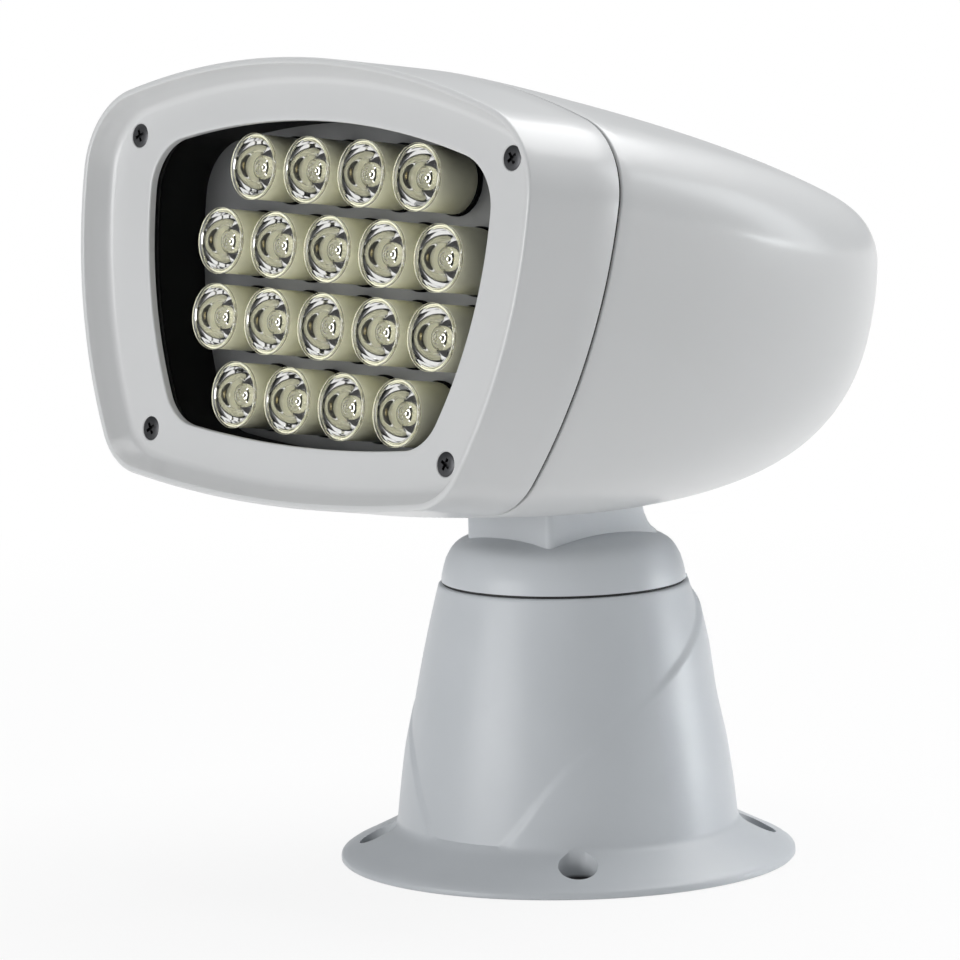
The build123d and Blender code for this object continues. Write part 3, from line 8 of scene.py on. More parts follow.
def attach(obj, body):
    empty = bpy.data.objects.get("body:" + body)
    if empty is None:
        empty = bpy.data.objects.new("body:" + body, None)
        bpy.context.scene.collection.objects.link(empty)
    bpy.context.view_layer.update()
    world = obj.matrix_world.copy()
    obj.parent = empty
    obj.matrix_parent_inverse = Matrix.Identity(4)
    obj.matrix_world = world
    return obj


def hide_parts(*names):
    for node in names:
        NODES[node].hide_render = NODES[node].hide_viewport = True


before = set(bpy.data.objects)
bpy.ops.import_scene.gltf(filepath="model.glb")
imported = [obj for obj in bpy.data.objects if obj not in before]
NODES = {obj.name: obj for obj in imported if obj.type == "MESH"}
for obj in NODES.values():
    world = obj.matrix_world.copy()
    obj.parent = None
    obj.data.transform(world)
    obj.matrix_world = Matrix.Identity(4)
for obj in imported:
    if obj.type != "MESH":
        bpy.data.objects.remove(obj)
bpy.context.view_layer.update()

# Sizes in millimetres and degrees, as the construction has them. The head is described level, then turned up to
# its rest: across from its middle, in depth from the bezel's face and in height from the middle of the lamps
MM = 0.001
TILT_Z = 150.0
LAMP_Z = TILT_Z + 38.1
FACE_AHEAD = 118.8
REST_PITCH = 8.2
HEAD_WALL = 3.2
RIM_LIFT = 8.4
SEAM_DEPTH = 27.6
SEAM_LEAN = 3.3
SEAM_GAP = 1.2
SEAM_ROUND = 0.5
NECK_HALF = 21.0
NECK_FRONT = 25.8
NECK_REAR = 18.7
SLOT_HALF = NECK_HALF + 2.2
SLOT_FRONT = 34.5
SLOT_REAR = 35.0
BASE_TURN = 10.0
BASE_WALL = 3.6
BOLT_CIRCLE = 65.0
BOLT_START = 39.5          # first bolt, counted from the base's front
BOLT_HOLE = 2.9
SEAT_RADIUS = 6.65
SEAT_Z = 3.2

# Camera: where the photograph was taken from, in metres, degrees and millimetres of a 36 mm frame
EYE = Vector((1.3199, -1.2421, 0.3730))
HEADING = 137.62
PITCH = -7.64
ROLL = 1.15
LENS = 201.2

# Node sockets that are known by their place in the list
OBJECT_PLACE = 3
CAMERA_RAY, SHADOW_RAY, GLOSSY_RAY, TRANSMISSION_RAY = 0, 1, 3, 6
COLOUR_A, COLOUR_B, COLOUR_RESULT = 6, 7, 2
RANDOM_FLOAT_MAX, RANDOM_FLOAT = 3, 1


# Shader maths


class Value:
    """A shader socket that takes part in Python arithmetic: each operator adds a Math node."""

    def __init__(self, tree, socket):
        self.tree, self.socket = tree, socket

    def math(self, operation, *terms):
        return self.tree.node("ShaderNodeMath", {"operation": operation}, dict(enumerate(terms)))[0]

    def __add__(self, other):
        return self.math("ADD", self, other)

    def __sub__(self, other):
        return self.math("SUBTRACT", self, other)

    def __rsub__(self, other):
        return self.math("SUBTRACT", other, self)

    def __mul__(self, other):
        return self.math("MULTIPLY", self, other)

    def __abs__(self):
        return self.math("ABSOLUTE", self)

    __radd__ = __add__
    __rmul__ = __mul__

    def at_least(self, other):
        return self.math("MAXIMUM", self, other)

    def clear_of(self, low, high):
        """0 below low, 1 above high, and smooth between."""
        ends = {"Value": self, "From Min": low, "From Max": high, "To Min": 0.0, "To Max": 1.0}
        return self.tree.node("ShaderNodeMapRange", {"interpolation_type": "SMOOTHSTEP"}, ends)[0]


class ShaderTree:
    """A shader tree, and the one way in which nodes are added to it."""

    def __init__(self, tree):
        self.tree = tree
        tree.nodes.clear()

    def node(self, kind, settings=None, inputs=None):
        """Adds a node: its settings first, then the values or links of its sockets. Gives its outputs."""
        node = self.tree.nodes.new(kind)
        for name, value in (settings or {}).items():
            setattr(node, name, value)
        for key, value in (inputs or {}).items():
            if isinstance(value, Value):
                self.tree.links.new(value.socket, node.inputs[key])
            else:
                node.inputs[key].default_value = value
        return [Value(self, out) for out in node.outputs]

    def mix_shaders(self, share, first, second):
        return self.node("ShaderNodeMixShader", None, {0: share, 1: first, 2: second})[0]

    def show(self, shader, output="ShaderNodeOutputMaterial"):
        self.node(output, None, {"Surface": shader})


class Finish(ShaderTree):
    """One procedural material."""

    def __init__(self, name):
        self.material = bpy.data.materials.new(name)
        self.material.use_nodes = True
        super().__init__(self.material.node_tree)
        self.place = self.node("ShaderNodeTexCoord")[OBJECT_PLACE]

    def noise(self, scale, detail=3.0):
        return self.node("ShaderNodeTexNoise", None, {"Vector": self.place, "Scale": scale, "Detail": detail,
                                                      "Roughness": 0.5})[0]

    def mix(self, share, first, second):
        """A colour between two colours."""
        settings = {"data_type": "RGBA", "blend_type": "MIX"}
        return self.node("ShaderNodeMix", settings, {0: share, COLOUR_A: first, COLOUR_B: second})[COLOUR_RESULT]

    def axes(self, vector):
        return self.node("ShaderNodeSeparateXYZ", None, {"Vector": vector})[:3]

    def bump(self, height, distance, strength):
        return self.node("ShaderNodeBump", None, {"Height": height, "Distance": distance, "Strength": strength})[0]

    def principled(self, **sockets):
        inputs = {name.replace("_", " "): value for name, value in sockets.items()}
        return self.node("ShaderNodeBsdfPrincipled", None, inputs)[0]

    def done(self, shader):
        self.show(shader)
        return self.material


def rgb(red, green, blue):
    return (red, green, blue, 1.0)


# Finishes. Tones are mixed by broad noise, roughness by finer noise, and grain is bump a few hundredths deep


def gloss_paint():
    """White gelcoat-like gloss of the head: a hint of orange peel under a clear coat."""
    f = Finish("gloss_white_paint")
    tone = f.mix(f.noise(14.0, 2.0).clear_of(0.3, 0.7), rgb(0.672, 0.677, 0.677), rgb(0.686, 0.69, 0.691))
    peel = f.bump(f.noise(520.0, 1.0), 0.00001, 0.25)
    return f.done(f.principled(Base_Color=tone, Roughness=f.noise(90.0, 2.0) * 0.05 + 0.32, Coat_Weight=0.4,
                               Coat_Roughness=0.16, Specular_IOR_Level=0.5, Normal=peel))


SEAT_EDGE = (6.7, 6.9)     # distances from a bolt's middle over which the painted shade in its seat ends
SEAT_TOP = (SEAT_Z, 4.8)   # heights up the wall round the seat over which the painted shade ends


def painted_seat_shade(f):
    """Painted shade: 1 on the four bolt seats in the flange and at the foot of the wall round each, 0 elsewhere."""
    onto_diagonals = radians(45.0 - BOLT_START - BASE_TURN)
    turned = f.node("ShaderNodeVectorRotate", {"rotation_type": "Z_AXIS"},
                    {"Vector": f.place, "Angle": onto_diagonals})[0]
    across, along, up = f.axes(turned)
    bolt = BOLT_CIRCLE * MM * cos(pi / 4)
    off_x, off_y = abs(across) - bolt, abs(along) - bolt
    beside = (off_x * off_x + off_y * off_y).clear_of(*[(r * MM) ** 2 for r in SEAT_EDGE])
    return (1 - beside) * (1 - up.clear_of(*[z * MM for z in SEAT_TOP]))


def powder_coat(name, shaded_seats=False):
    """Satin grey powder coat on the die castings: fine grain, and a little unevenness in tone.

    On request, painted shade darkens the four bolt seats in the flange and the foot of the wall round each to near
    black.
    """
    f = Finish(name)
    tone = f.mix(f.noise(22.0).clear_of(0.3, 0.7), rgb(0.575, 0.60, 0.625), rgb(0.60, 0.625, 0.65))
    if shaded_seats:
        # painted shade: the recessed bolt seats are mixed to near black, as if in the shadow of their hollows
        tone = f.mix(painted_seat_shade(f), tone, rgb(0.03, 0.03, 0.03))
    grain = f.bump(f.noise(2600.0, 2.0) * 0.5 + f.noise(900.0) * 0.5, 0.00005, 0.55)
    return f.done(f.principled(Base_Color=tone, Roughness=f.noise(300.0) * 0.12 + 0.31, Specular_IOR_Level=0.5,
                               Normal=grain))


def metal(name, colour, roughness):
    """Bare or plated metal with fine scratches and patchy roughness."""
    f = Finish(name)
    darker = rgb(*[c * 0.78 for c in colour])
    tone = f.mix(f.noise(70.0, 4.0).clear_of(0.35, 0.7), darker, rgb(*colour))
    return f.done(f.principled(Base_Color=tone, Metallic=1.0, Roughness=f.noise(700.0) * 0.18 + roughness,
                               Normal=f.bump(f.noise(2100.0, 2.0), 0.00003, 0.3)))


def moulded(name, colour, roughness, grain=0.00004, scale=1500.0, shine=0.5):
    """Moulded plastic or rubber with a fine spark-eroded grain."""
    f = Finish(name)
    paler = rgb(*[min(c * 1.12 + 0.001, 1.0) for c in colour])
    tone = f.mix(f.noise(60.0).clear_of(0.3, 0.75), rgb(*colour), paler)
    return f.done(f.principled(Base_Color=tone, Roughness=f.noise(scale * 0.3, 2.0) * 0.12 + roughness,
                               Specular_IOR_Level=shine, Normal=f.bump(f.noise(scale, 2.0), grain, 0.4)))


def clear_window():
    """Toughened glass: nearly all of it is see-through."""
    f = Finish("window_clear")
    haze = f.noise(25.0).clear_of(0.35, 0.8)
    return f.done(f.principled(Base_Color=rgb(0.01, 0.011, 0.011), Roughness=haze * 0.02 + 0.02,
                               Alpha=haze * 0.01 + 0.03, Specular_IOR_Level=0.2))


def clear_optic():
    """Clear acrylic of the collimator lenses, which casts no shadow on its cup, as the real one hardly does."""
    f = Finish("optic_clear")
    acrylic = f.principled(Base_Color=rgb(0.98, 0.98, 0.955), Roughness=f.noise(500.0, 2.0) * 0.03, IOR=1.49,
                           Transmission_Weight=1.0)
    through = f.node("ShaderNodeBsdfTransparent", None, {"Color": rgb(1, 1, 1)})[0]
    shadow = f.node("ShaderNodeLightPath")[SHADOW_RAY]
    return f.done(f.mix_shaders(shadow, acrylic, through))


def lamp_plate_finish():
    """Grey anodised plate, with a slight bloom."""
    f = Finish("plate_grey_anodised")
    tone = f.mix(f.noise(35.0, 4.0).clear_of(0.3, 0.75), rgb(0.22, 0.224, 0.227), rgb(0.26, 0.264, 0.268))
    return f.done(f.principled(Base_Color=tone, Metallic=0.45, Roughness=f.noise(400.0) * 0.12 + 0.34,
                               Normal=f.bump(f.noise(1500.0, 2.0), 0.00002, 0.3)))


# Outlines of the head


def towards(centre, point, radius):
    """The point at a distance from a centre, on the way to another point."""
    dx, dz = point[0] - centre[0], point[1] - centre[1]
    length = hypot(dx, dz)
    return centre[0] + radius * dx / length, centre[1] + radius * dz / length


def crossing(c1, r1, c2, r2, upper):
    """Where two circles cross at the right, either the upper or the lower crossing."""
    dx, dz = c2[0] - c1[0], c2[1] - c1[1]
    gap = hypot(dx, dz)
    along = (r1 * r1 - r2 * r2 + gap * gap) / (2 * gap)
    across = sqrt(max(r1 * r1 - along * along, 0.0))
    mx, mz = c1[0] + along * dx / gap, c1[1] + along * dz / gap
    sides = [(mx - across * dz / gap, mz + across * dx / gap), (mx + across * dz / gap, mz - across * dx / gap)]
    return max(sides, key=lambda p: p[0] + (p[1] if upper else -p[1]))


def arc_points(centre, start, end, count):
    """Points from start, up to but not onto end, along the short arc round a centre."""
    radius = hypot(start[0] - centre[0], start[1] - centre[1])
    a0 = atan2(start[1] - centre[1], start[0] - centre[0])
    turn = (atan2(end[1] - centre[1], end[0] - centre[0]) - a0 + pi) % (2 * pi) - pi
    angles = [a0 + turn * i / count for i in range(count)]
    return [(centre[0] + radius * cos(a), centre[1] + radius * sin(a)) for a in angles]


ARC_COUNTS = (26, 20, 30, 20, 26)
SMALLEST_CORNER = 0.4


class Outline:
    """A crowned, waisted shield: top, flank and belly arcs with rounded corners, mirrored about x = 0."""

    def __init__(self, half, widest, top, bottom, crown, flank, belly, top_corner, bottom_corner):
        self.half, self.widest, self.top, self.bottom = half, widest, top, bottom
        self.crown, self.flank, self.belly = crown, flank, belly
        self.top_corner, self.bottom_corner = top_corner, bottom_corner

    def blend(self, other, share):
        mine, theirs = vars(self), vars(other)
        return Outline(*[mine[k] + (theirs[k] - mine[k]) * share for k in mine])

    def points(self, inset=0.0):
        """Points round the outline moved inwards by inset, clockwise from the top seen from the front."""
        crown, flank, belly = self.crown - inset, self.flank - inset, self.belly - inset
        k1, k2 = [max(corner - inset, SMALLEST_CORNER) for corner in (self.top_corner, self.bottom_corner)]
        top, bottom = self.top - inset, self.bottom + inset
        c_top, c_side, c_low = (0, top - crown), (self.half - inset - flank, self.widest), (0, bottom + belly)
        f1 = crossing(c_top, crown - k1, c_side, flank - k1, True)
        f2 = crossing(c_side, flank - k2, c_low, belly - k2, False)
        t1, t2 = towards(c_top, f1, crown), towards(c_side, f1, flank)
        t3, t4 = towards(c_side, f2, flank), towards(c_low, f2, belly)
        arcs = ((c_top, (0, top), t1), (f1, t1, t2), (c_side, t2, t3), (f2, t3, t4), (c_low, t4, (0, bottom)))
        half = [point for arc, count in zip(arcs, ARC_COUNTS) for point in arc_points(*arc, count)]
        return half + [(0, bottom)] + [(-x, z) for x, z in reversed(half[1:])]


HEAD_ARCS = {"crown": 310.0, "flank": 176.5, "belly": 540.0, "top_corner": 29.0, "bottom_corner": 23.0}
CREST = Outline(half=110.7, widest=30.3, top=73.9, bottom=-71.9, **HEAD_ARCS)
SEAM = Outline(half=112.2, widest=30.3, top=74.3, bottom=-72.5, **HEAD_ARCS)
OPENING = Outline(half=84.1, widest=29.0, top=53.9, bottom=-52.2, crown=300.0, flank=148.0, belly=500.0,
                  top_corner=18.0, bottom_corner=18.0)

TAIL_LENGTH = 196.9
TAIL_RISE = 1.3
WIDTH_CURVE = (3.503, 1.717)
ROOF_CURVE = (1.209, 3.615)
BELLY_CURVE = (1.666, 2.996)
WIDEST_CURVE = 3.49
TOP_CORNER_LOSS = 1.6      # what the radii of the seam's corners lose or gain on the way to the tip
BOTTOM_CORNER_GAIN = 69.0
FLANK_TIGHTENS = 0.35      # share of its radius that an arc loses on the way to the tip
BELLY_TIGHTENS = 0.6
CORNER_ROOM = 0.9          # share of the room beside it that a corner may take up
ARC_OVER_CORNER = 1.2      # an arc is at least this many times as large as the corners it meets
FLANK_OVER_HEIGHT = 0.6
BELLY_OVER_HALF = 1.02


def rim_section(depth):
    return CREST.blend(SEAM, (depth + RIM_LIFT) / (SEAM_DEPTH + RIM_LIFT))


def tail_section(share):
    """Outline of the tail at a share of its length. Each curve closes it in its own way."""
    def closing(curve):
        return (1 - share ** curve[0]) ** (1 / curve[1])

    half = SEAM.half * closing(WIDTH_CURVE)
    top = TAIL_RISE + (SEAM.top - TAIL_RISE) * closing(ROOF_CURVE)
    bottom = TAIL_RISE + (SEAM.bottom - TAIL_RISE) * closing(BELLY_CURVE)
    widest = SEAM.widest + (TAIL_RISE - SEAM.widest) * share ** WIDEST_CURVE
    scale = half / SEAM.half
    top_corner = min((SEAM.top_corner - TOP_CORNER_LOSS * share) * scale,
                     CORNER_ROOM * (top - widest), CORNER_ROOM * half)
    bottom_corner = min((SEAM.bottom_corner + BOTTOM_CORNER_GAIN * share) * scale,
                        CORNER_ROOM * (widest - bottom), CORNER_ROOM * half)
    crown = max(SEAM.crown * scale, top_corner * ARC_OVER_CORNER)
    flank = max(SEAM.flank * scale * (1 - FLANK_TIGHTENS * share), top_corner * ARC_OVER_CORNER,
                bottom_corner * ARC_OVER_CORNER, FLANK_OVER_HEIGHT * (top - bottom))
    belly = max(SEAM.belly * scale * (1 - BELLY_TIGHTENS * share), bottom_corner * ARC_OVER_CORNER,
                half * BELLY_OVER_HALF)
    return Outline(half, widest, top, bottom, crown, flank, belly, top_corner, bottom_corner)


# Mesh helpers

TO_METRES = Matrix.Scale(MM, 4)
PLACED = {
    "head": TO_METRES @ (Matrix.Translation((0, 0, TILT_Z)) @ Matrix.Rotation(radians(-REST_PITCH), 4, "X")
                         @ Matrix.Translation((0, 0, -TILT_Z))),
    "turret": TO_METRES,
    "base": TO_METRES @ Matrix.Rotation(radians(BASE_TURN), 4, "Z"),
}
FACING_FRONT = (radians(90), 0.0, 0.0)
TO_FRONT = Matrix.Rotation(radians(90), 4, "X")
WELD = 1e-5


def head_point(x, depth, z):
    """A point of the level head, from its place on the bezel, as a vector in millimetres."""
    return Vector((x, depth - FACE_AHEAD, LAMP_Z + z))


def new_object(name, data):
    made = bpy.data.objects.new(name, data)
    bpy.context.scene.collection.objects.link(made)
    return made


def object_of(name, mesh):
    """An object from a bmesh, which is used up."""
    data = bpy.data.meshes.new(name)
    mesh.to_mesh(data)
    mesh.free()
    return new_object(name, data)


def skin(name, rings, around=False, tips=()):
    """A mesh over rings of equally many points, each closed round.

    If around, the last ring joins on to the first. Tips close the first and the last ring.
    """
    mesh = bmesh.new()
    rows = [[mesh.verts.new(p) for p in ring] for ring in rings]
    pairs = list(zip(rows, rows[1:]))
    if around:
        pairs.append((rows[-1], rows[0]))
    for low, high in pairs:
        for i in range(len(low)):
            j = (i + 1) % len(low)
            mesh.faces.new((low[i], low[j], high[j], high[i]))
    for row, tip in zip((rows[0], rows[-1]), tips):
        point = mesh.verts.new(tip)
        for i in range(len(row)):
            mesh.faces.new((row[i], row[(i + 1) % len(row)], point))
    bmesh.ops.remove_doubles(mesh, verts=mesh.verts, dist=WELD)
    bmesh.ops.recalc_face_normals(mesh, faces=mesh.faces)
    return object_of(name, mesh)


def lathe(name, profile, steps, around=True):
    """A profile of radius and height turned about the Z axis. If around, its last point joins on to its first."""
    mesh = bmesh.new()
    rows = []
    for i in range(steps):
        a = 2 * pi * i / steps
        rows.append([mesh.verts.new((r * cos(a), r * sin(a), z)) for r, z in profile])
    count = len(profile)
    for i in range(steps):
        low, high = rows[i], rows[(i + 1) % steps]
        for k in range(count if around else count - 1):
            m = (k + 1) % count
            mesh.faces.new((low[k], high[k], high[m], low[m]))
    bmesh.ops.remove_doubles(mesh, verts=mesh.verts, dist=WELD)
    bmesh.ops.dissolve_degenerate(mesh, edges=mesh.edges, dist=WELD / 10)
    bmesh.ops.recalc_face_normals(mesh, faces=mesh.faces)
    return object_of(name, mesh)


def joined(name, *objects):
    """One object from several, whose meshes keep their places."""
    mesh = bmesh.new()
    for each in objects:
        mesh.from_mesh(each.data)
        bpy.data.objects.remove(each)
    return object_of(name, mesh)


def baked(made):
    """Turns an object's modifiers into its plain mesh."""
    graph = bpy.context.evaluated_depsgraph_get()
    data = bpy.data.meshes.new_from_object(made.evaluated_get(graph))
    made.modifiers.clear()
    made.data = data
    return made


def cut(made, *tools):
    """Takes each tool's shape out of an object."""
    for tool in tools:
        step = made.modifiers.new("cut", "BOOLEAN")
        step.operation, step.solver, step.object = "DIFFERENCE", "EXACT", tool
    baked(made)
    for tool in tools:
        bpy.data.objects.remove(tool)
    return made


def settle(made, finish, body, nodes, crease):
    """Puts a finished piece in its place, gives it its finish and hangs it on its body."""
    made.data.transform(PLACED[body])
    made.data.materials.clear()
    made.data.materials.append(finish)
    made.data.polygons.foreach_set("use_smooth", [True] * len(made.data.polygons))
    made.data.set_sharp_from_angle(angle=radians(crease))
    made.data.update()
    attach(made, body)
    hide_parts(*nodes)


def box_tool(name, x0, x1, y0, y1, z0, z1, corner=0.0):
    """A block for cutting, with its upright edges rounded."""
    mesh = bmesh.new()
    bmesh.ops.create_cube(mesh, size=1.0)
    for v in mesh.verts:
        v.co = Vector(((x0 + x1) / 2 + v.co.x * (x1 - x0), (y0 + y1) / 2 + v.co.y * (y1 - y0),
                       (z0 + z1) / 2 + v.co.z * (z1 - z0)))
    if corner:
        upright = [e for e in mesh.edges if abs(e.verts[0].co.z - e.verts[1].co.z) > 0.5 * (z1 - z0)]
        bmesh.ops.bevel(mesh, geom=upright, offset=corner, segments=6, profile=0.5, affect="EDGES")
    return object_of(name, mesh)


def turned_tools(name, turns, *sides):
    """Blocks for cutting, one for each turn about the Z axis in degrees."""
    tools = [box_tool(name, *sides) for _ in turns]
    for tool, turn in zip(tools, turns):
        tool.data.transform(Matrix.Rotation(radians(turn), 4, "Z"))
    return tools


def round_corner(centre, radius, start, end, count):
    """Points of an arc from one angle to another, in degrees, both ends included."""
    angles = [radians(start + (end - start) * i / count) for i in range(count + 1)]
    return [(centre[0] + radius * cos(a), centre[1] + radius * sin(a)) for a in angles]


def rounding(radius, angles):
    """Steps over a rounded edge: how far each lies in from the side and back from the end."""
    return [(radius * (1 - cos(radians(a))), radius * (1 - sin(radians(a)))) for a in angles]


def bowed(start, end, bow, count):
    """Points from start to end on a parabola that stands off the straight way by bow, to its left."""
    dx, dz = end[0] - start[0], end[1] - start[1]
    length = hypot(dx, dz)
    points = []
    for i in range(count + 1):
        share = i / count
        off = 4 * share * (1 - share) * bow / length
        points.append((start[0] + dx * share - dz * off, start[1] + dz * share + dx * off))
    return points


# Copies set in place by a geometry node tree


def copies_tree():
    """Sets a pattern on every vertex of the places, turned, then spun about its own axis by a fixed seed."""
    tree = bpy.data.node_groups.new("copies_in_place", "GeometryNodeTree")
    for name, kind in (("Places", "Geometry"), ("Pattern", "Object"), ("Turn", "Vector"), ("Largest Spin", "Float"),
                       ("Seed", "Int")):
        tree.interface.new_socket(name, in_out="INPUT", socket_type="NodeSocket" + kind)
    tree.interface.new_socket("Copies", in_out="OUTPUT", socket_type="NodeSocketGeometry")
    add = tree.nodes.new
    given, out = add("NodeGroupInput"), add("NodeGroupOutput")
    pattern, place = add("GeometryNodeObjectInfo"), add("GeometryNodeInstanceOnPoints")
    angle, about = add("FunctionNodeRandomValue"), add("ShaderNodeCombineXYZ")
    spin, real = add("GeometryNodeRotateInstances"), add("GeometryNodeRealizeInstances")
    spin.inputs["Local Space"].default_value = True
    for start, outlet, end, inlet in (
            (given, "Pattern", pattern, "Object"), (given, "Places", place, "Points"),
            (pattern, "Geometry", place, "Instance"), (given, "Turn", place, "Rotation"),
            (given, "Largest Spin", angle, RANDOM_FLOAT_MAX), (given, "Seed", angle, "Seed"),
            (angle, RANDOM_FLOAT, about, "Z"), (place, "Instances", spin, "Instances"),
            (about, "Vector", spin, "Rotation"), (spin, "Instances", real, "Geometry"),
            (real, "Geometry", out, "Copies")):
        tree.links.new(start.outputs[outlet], end.inputs[inlet])
    return tree


COPIES = copies_tree()


def copies(name, pattern, places, largest_spin=0.0, seed=1):
    """Plain mesh of a pattern that faces front at each place. The pattern's own object is removed."""
    data = bpy.data.meshes.new(name)
    data.from_pydata([tuple(p) for p in places], [], [])
    made = new_object(name, data)
    step = made.modifiers.new("copies", "NODES")
    step.node_group = COPIES
    named = {s.name: s.identifier for s in COPIES.interface.items_tree if s.in_out == "INPUT"}
    for label, value in (("Pattern", pattern), ("Turn", FACING_FRONT), ("Largest Spin", largest_spin),
                         ("Seed", seed)):
        step[named[label]] = value
    baked(made)
    bpy.data.objects.remove(pattern)
    return made


# Head

EDGE_ANGLES = (90, 60, 30, 0)
OUTER_DEPTHS = (18.0, 10.0, 2.0, -4.0)
INNER_DEPTH = 16.0
RIM_ROUND = 0.9
RIM_TOP = 1.6              # insets from the crest, from the rim's flat top down the slope to the face
SLOPE_START = 1.9
SLOPE_REACH = 4.6
SLOPE_END = 6.3
FACE_START = 11.0
SLOPE_ROUND = 0.7
SLOPE_DROP = 0.5
SLOPE_EASE = 0.98
FACE_ROUND = 3.4
FACE_STEPS = 7
FACE_MARGIN = 2.0
FACE_WALL = 2.6
LIP_ROUND = 0.6
HEAD_CREASE = 40.0
SINK_STEPS = 32
SINK_PROFILE = ((0.0, 0.4), (4.45, 0.4), (4.3, 0.0), (2.2, -2.2), (2.2, -4.0), (0.0, -4.0))


def seam_depth(z, offset):
    """Depth of the leaning seam at a height, offset to one side of it."""
    return SEAM_DEPTH + z * tan(radians(SEAM_LEAN)) + offset


def front_ring(finish):
    """The deep front ring: rounded rim, dished slope, flat face and the lipped window opening."""
    rings = []

    def ring(outline, inset, depth):
        rings.append([head_point(x, depth(z) if callable(depth) else depth, z) for x, z in outline.points(inset)])

    for inset, back in rounding(SEAM_ROUND, EDGE_ANGLES):
        ring(SEAM, inset, lambda z, b=back: seam_depth(z, -SEAM_GAP / 2 - b))
    for depth in OUTER_DEPTHS:
        ring(rim_section(depth), 0.0, depth)
    for inset, back in rounding(RIM_ROUND, range(0, 91, 15)):
        ring(CREST, inset, back - RIM_LIFT)
    steepness = pi / 2 - atan2(SLOPE_REACH, RIM_LIFT)
    for angle in (25, 50, 75, 90):
        bend = steepness * angle / 90
        ring(CREST, RIM_TOP + SLOPE_ROUND * sin(bend), SLOPE_ROUND * (1 - cos(bend)) - RIM_LIFT)
    for share in (0.25, 0.5):
        ring(CREST, SLOPE_START + SLOPE_REACH * share, SLOPE_DROP + RIM_LIFT * (share * SLOPE_EASE - 1))
    for i in range(FACE_STEPS + 1):
        bend = steepness * (1 - i / FACE_STEPS)
        ring(CREST, SLOPE_END + FACE_ROUND * (tan(steepness / 2) - sin(bend)), FACE_ROUND * (cos(bend) - 1))
    ring(CREST, FACE_START, 0.0)
    ring(OPENING, -FACE_MARGIN, 0.0)
    for inset, back in rounding(LIP_ROUND, EDGE_ANGLES):
        ring(OPENING, -inset, back)
    ring(OPENING, 0.0, FACE_WALL)
    for depth in (FACE_WALL, INNER_DEPTH):
        ring(rim_section(depth), HEAD_WALL, depth)
    ring(SEAM, HEAD_WALL, lambda z: seam_depth(z, -SEAM_GAP / 2))
    made = skin("front_ring", rings, around=True)
    sinks = [lathe("sink", SINK_PROFILE, SINK_STEPS, around=False) for _ in range(4)]
    for sink, place in zip(sinks, bezel_screw_places(0.0)):
        sink.data.transform(Matrix.Translation(place) @ TO_FRONT)
    settle(cut(made, *sinks), finish, "head", ["front_frame"], HEAD_CREASE)


TAIL_STEPS = 56
TIP_STEPS = 3              # steps at the end that one tip stands for
SEAM_FADE = 0.2            # share of the tail's length over which the seam's lean fades
INSIDE_EVERY = 3           # the inner skin has every third ring of the outer one, and ends sooner
INSIDE_END = 0.9
INSIDE_TIP = 0.93
EASED_FROM = 0.99          # share of the tail's length from which its tip is smoothed
EASING_PASSES = 4
SLOT_BOTTOM = TILT_Z - 50.0
SLOT_TOP = TILT_Z - 8.0
SLOT_CORNER = 3.0


def ease_tip(made, start, passes):
    """Rounds the very end of the tail, where the closing curves run into a small upright edge."""
    mesh = bmesh.new()
    mesh.from_mesh(made.data)
    end = [v for v in mesh.verts if v.co.y > start]
    for _ in range(passes):
        bmesh.ops.smooth_vert(mesh, verts=end, factor=0.5, use_axis_x=True, use_axis_y=True, use_axis_z=True)
    mesh.to_mesh(made.data)
    mesh.free()


def tail_shell(finish):
    """The bullet-shaped rear housing: one skin outside and one inside, joined round the mouth."""
    rings = []

    def ring(share, inset, back=0.0, pull=0.0):
        lean = max(1 - share / SEAM_FADE, 0.0)
        depth = SEAM_DEPTH + TAIL_LENGTH * share - pull
        rings.append([head_point(x, depth + lean * (seam_depth(z, SEAM_GAP / 2 + back) - SEAM_DEPTH), z)
                      for x, z in tail_section(share).points(inset)])

    shares = [sin(pi / 2 * (i + 1) / TAIL_STEPS) for i in range(TAIL_STEPS - TIP_STEPS)]
    for share in reversed(shares[::INSIDE_EVERY]):
        if share < INSIDE_END:
            ring(share, HEAD_WALL, pull=HEAD_WALL * share ** 3)
    ring(0.0, HEAD_WALL)
    for inset, back in rounding(SEAM_ROUND, EDGE_ANGLES):
        ring(0.0, inset, back)
    for share in shares:
        ring(share, 0.0)
    tips = (head_point(0, SEAM_DEPTH + TAIL_LENGTH * INSIDE_TIP - HEAD_WALL, TAIL_RISE),
            head_point(0, SEAM_DEPTH + TAIL_LENGTH, TAIL_RISE))
    made = skin("rear_shell", rings, tips=tips)
    ease_tip(made, head_point(0, SEAM_DEPTH + TAIL_LENGTH * EASED_FROM, 0).y, EASING_PASSES)
    slot = box_tool("slot", -SLOT_HALF, SLOT_HALF, -SLOT_FRONT, SLOT_REAR, SLOT_BOTTOM, SLOT_TOP, SLOT_CORNER)
    settle(cut(made, slot), finish, "head", ["rear_housing"], HEAD_CREASE)


# Lamp array. An optic's own heights are counted from the front of its lens, those of its ring from the plate

